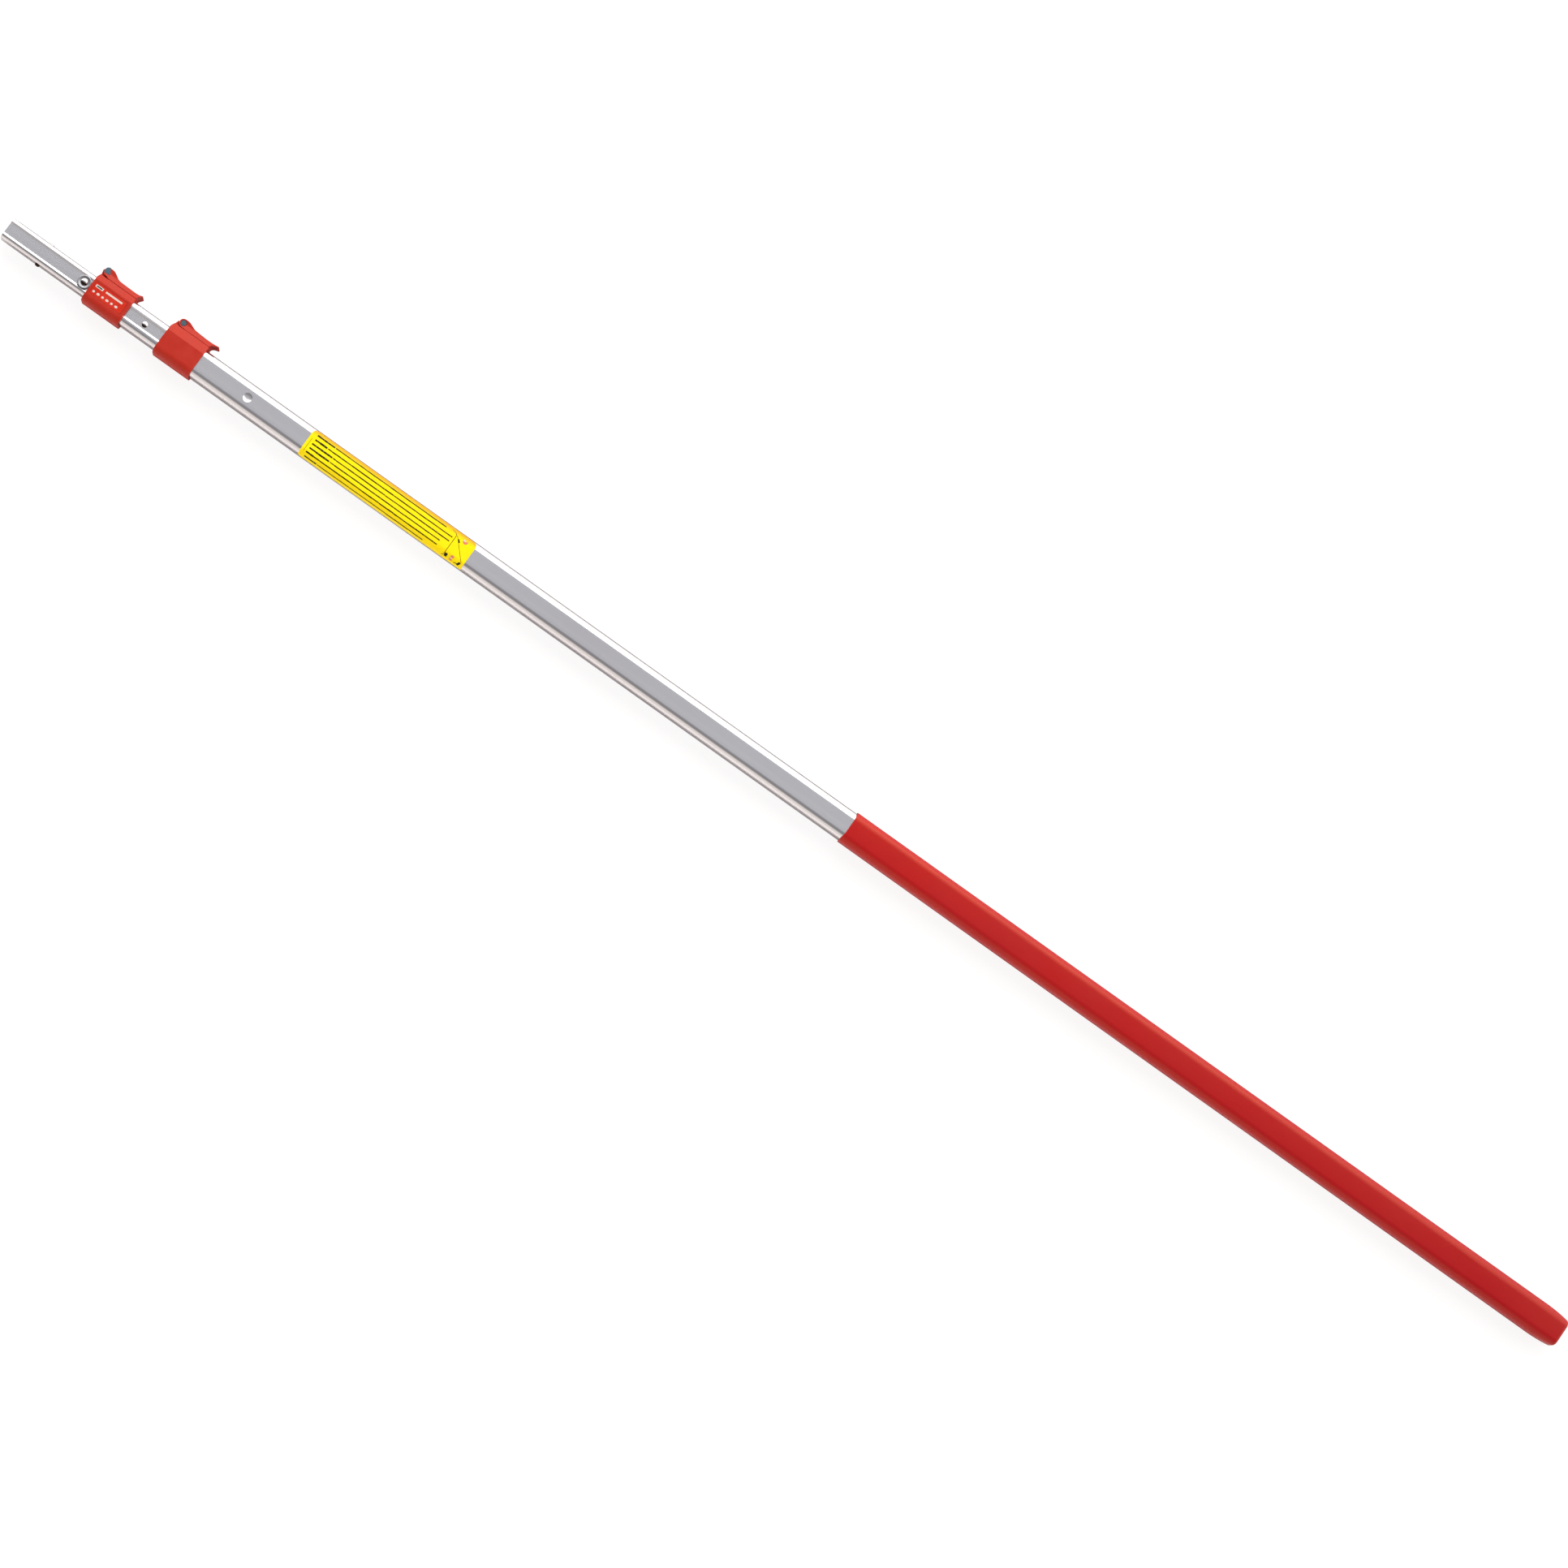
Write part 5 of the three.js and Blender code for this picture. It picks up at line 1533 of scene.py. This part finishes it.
# %% Print the plate
plate_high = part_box("upper_collar_plate")[1]
plate_top = (plate_high.z - AXIS_Z) / MM
plate_start = plate_high.x / MM
PLATE_INK = dict(body="middle", slot="red_moulding", flat_height=plate_top)
BAR_ROW, PIP_ROW = -3.7, 3.3       # across the plate, from its middle
PIP_SPACING = 5.9
plate_bars = [(plate_start - 6.4, BAR_ROW, 9.6, 3.2, 0), (plate_start - 25.6, BAR_ROW, 21.5, 2.1, 0)]
print_bars("plate_bars", plate_bars, CREAM_INK, **PLATE_INK)
print_bars("plate_bar_middle", [(plate_start - 6.4, BAR_ROW, 7.0, 1.3, 0)], INK, lift=0.06, **PLATE_INK)
PIPS = [(plate_start - 3.4 - PIP_SPACING * i, PIP_ROW, 3.9 if i % 2 else 3.0, 2.7, 0) for i in range(6)]
print_bars("plate_pips", PIPS, CREAM_INK, rounded_ends=True, **PLATE_INK)
print(len(plate_bars), "bars and", len(PIPS), "pips")

# %% [markdown]
# ## Collar screws
# Two countersunk screws hold each collar to its tube from behind. One screw is modelled with a
# crossed recess, and a node tree repeats it along the pole.


# %% Repeat a screw along a line
def make_row():
    """Copies of the input geometry, spaced along X."""
    tree, start, end = geometry_tree(
        "row_of_screws",
        [("Count", "NodeSocketInt", 2), ("Spacing", FLOAT, 0.012), ("Material", "NodeSocketMaterial", None)])
    line = add_node(tree, "GeometryNodeMeshLine", mode="OFFSET", count_mode="TOTAL")
    gap = add_node(tree, "ShaderNodeCombineXYZ")
    put = add_node(tree, "GeometryNodeInstanceOnPoints")
    real = add_node(tree, "GeometryNodeRealizeInstances")
    paint = add_node(tree, "GeometryNodeSetMaterial")
    wire(tree, (start.outputs["Spacing"], gap.inputs["X"]), (gap.outputs[0], line.inputs["Offset"]),
         (start.outputs["Count"], line.inputs["Count"]), (line.outputs[0], put.inputs["Points"]),
         (start.outputs["Geometry"], put.inputs["Instance"]), (put.outputs[0], real.inputs[0]),
         (real.outputs[0], paint.inputs["Geometry"]), (start.outputs["Material"], paint.inputs["Material"]),
         (paint.outputs[0], end.inputs["Geometry"]))
    return tree


ROW = make_row()
print("row:", len(ROW.nodes), "nodes")

# %% [markdown]
# The screw is turned head down, as it sits in the collar's back. Two crossed slots are cut into
# the head before the row is made, so that every copy has them.

# %% Turn, slot and repeat the screws
RECESS = 1.9                       # half the length of a slot
SLOT_HALF = 0.42                   # half its width
SLOT_DEPTH = 0.9
SCREW_SHANK = 1.7
HEAD_HEIGHT = 1.9
for lock, body in (("lower", "outer"), ("upper", "middle")):
    screws = [lock + "_collar_screw_1", lock + "_collar_screw_2"]
    places = sorted((middle_of(name) for name in screws), key=lambda place: place.x)
    low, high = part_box(screws[0])
    head, tall = (high.x - low.x) / 2 / MM, (high.z - low.z) / MM
    seat = Vector((places[0].x, AXIS_Y, low.z))
    profile = rounded_profile(
        [(0, 0), (head - 0.35, 0), (head, 0.3), (SCREW_SHANK, HEAD_HEIGHT), (SCREW_SHANK, tall), (0, tall)],
        [0.05, 0.1, 0.1, 0.15])
    screw = new_object("visible_" + lock + "_collar_screws", turned(profile, (0, 0, 1), seat, 36))
    x, bottom = seat.x / MM, (seat.z - AXIS_Z) / MM
    for a, b in ((RECESS, SLOT_HALF), (SLOT_HALF, RECESS)):
        outline = [(x - a, -b), (x + a, -b), (x + a, b), (x - a, b)]
        cut_away(screw, [prism(outline, bottom - 1, bottom + SLOT_DEPTH)])
    repeat = screw.modifiers.new("repeat", "NODES")
    repeat.node_group = ROW
    inputs_by_name(repeat, Count=len(places), Spacing=places[1].x - places[0].x, Material=STEEL)
    baked(screw, smooth=30)
    placed(screw, body, STEEL, screws)
    print(lock, "collar:", len(places), "screws")

# %% [markdown]
# ## Snap spring
# The spring inside the tip is one folded strip. Pressing a button bends the leaf behind it. The
# strip is cut at the pole's middle into two leaves, one behind each button, and both stay with
# the inner tube.


# %% Cut the spring into two leaves
for name in ("near", "far"):
    leaf = new_object("visible_spring_leaf_" + name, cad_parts["snap_spring"].data.copy())
    shape = bmesh.new()
    shape.from_mesh(leaf.data)
    bmesh.ops.remove_doubles(shape, verts=shape.verts, dist=1e-6)
    button = middle_of("snap_button_" + name)
    toward = 1 if button.y > AXIS_Y else -1
    everything = shape.verts[:] + shape.edges[:] + shape.faces[:]
    made = bmesh.ops.bisect_plane(shape, geom=everything, plane_co=(0, AXIS_Y, 0), plane_no=(0, toward, 0),
                                  clear_inner=True)
    rim = [e for e in made["geom_cut"] if isinstance(e, bmesh.types.BMEdge)]
    bmesh.ops.holes_fill(shape, edges=rim)
    bmesh.ops.recalc_face_normals(shape, faces=shape.faces)
    shape.to_mesh(leaf.data)
    shape.free()
    baked(leaf, smooth=40)
    placed(leaf, "inner", STEEL, ["snap_spring"])
    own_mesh(leaf)
    print("spring leaf", name, len(leaf.data.polygons), "faces")

# %% [markdown]
# ## Pieces that stay as they are
# The bushes, tail plugs, their rivets and the butt plug are inside the pole, and the upper
# collar's plate is flat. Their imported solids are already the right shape, so they only get their
# finishes, through their own material slots.

# %% Finish the pieces that stay
KEPT = {
    "butt_plug": BLACK_PLASTIC,
    "lower_guide_bush": NYLON,
    "upper_guide_bush": NYLON,
    "middle_tail_plug": NYLON,
    "inner_tail_plug": NYLON,
    "middle_tail_rivet": STEEL,
    "inner_tail_rivet": STEEL,
    "upper_collar_plate": PLATE_RED,
}
for node, material in KEPT.items():
    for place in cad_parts[node].material_slots:
        place.material = material
print(len(KEPT), "packed pieces kept")
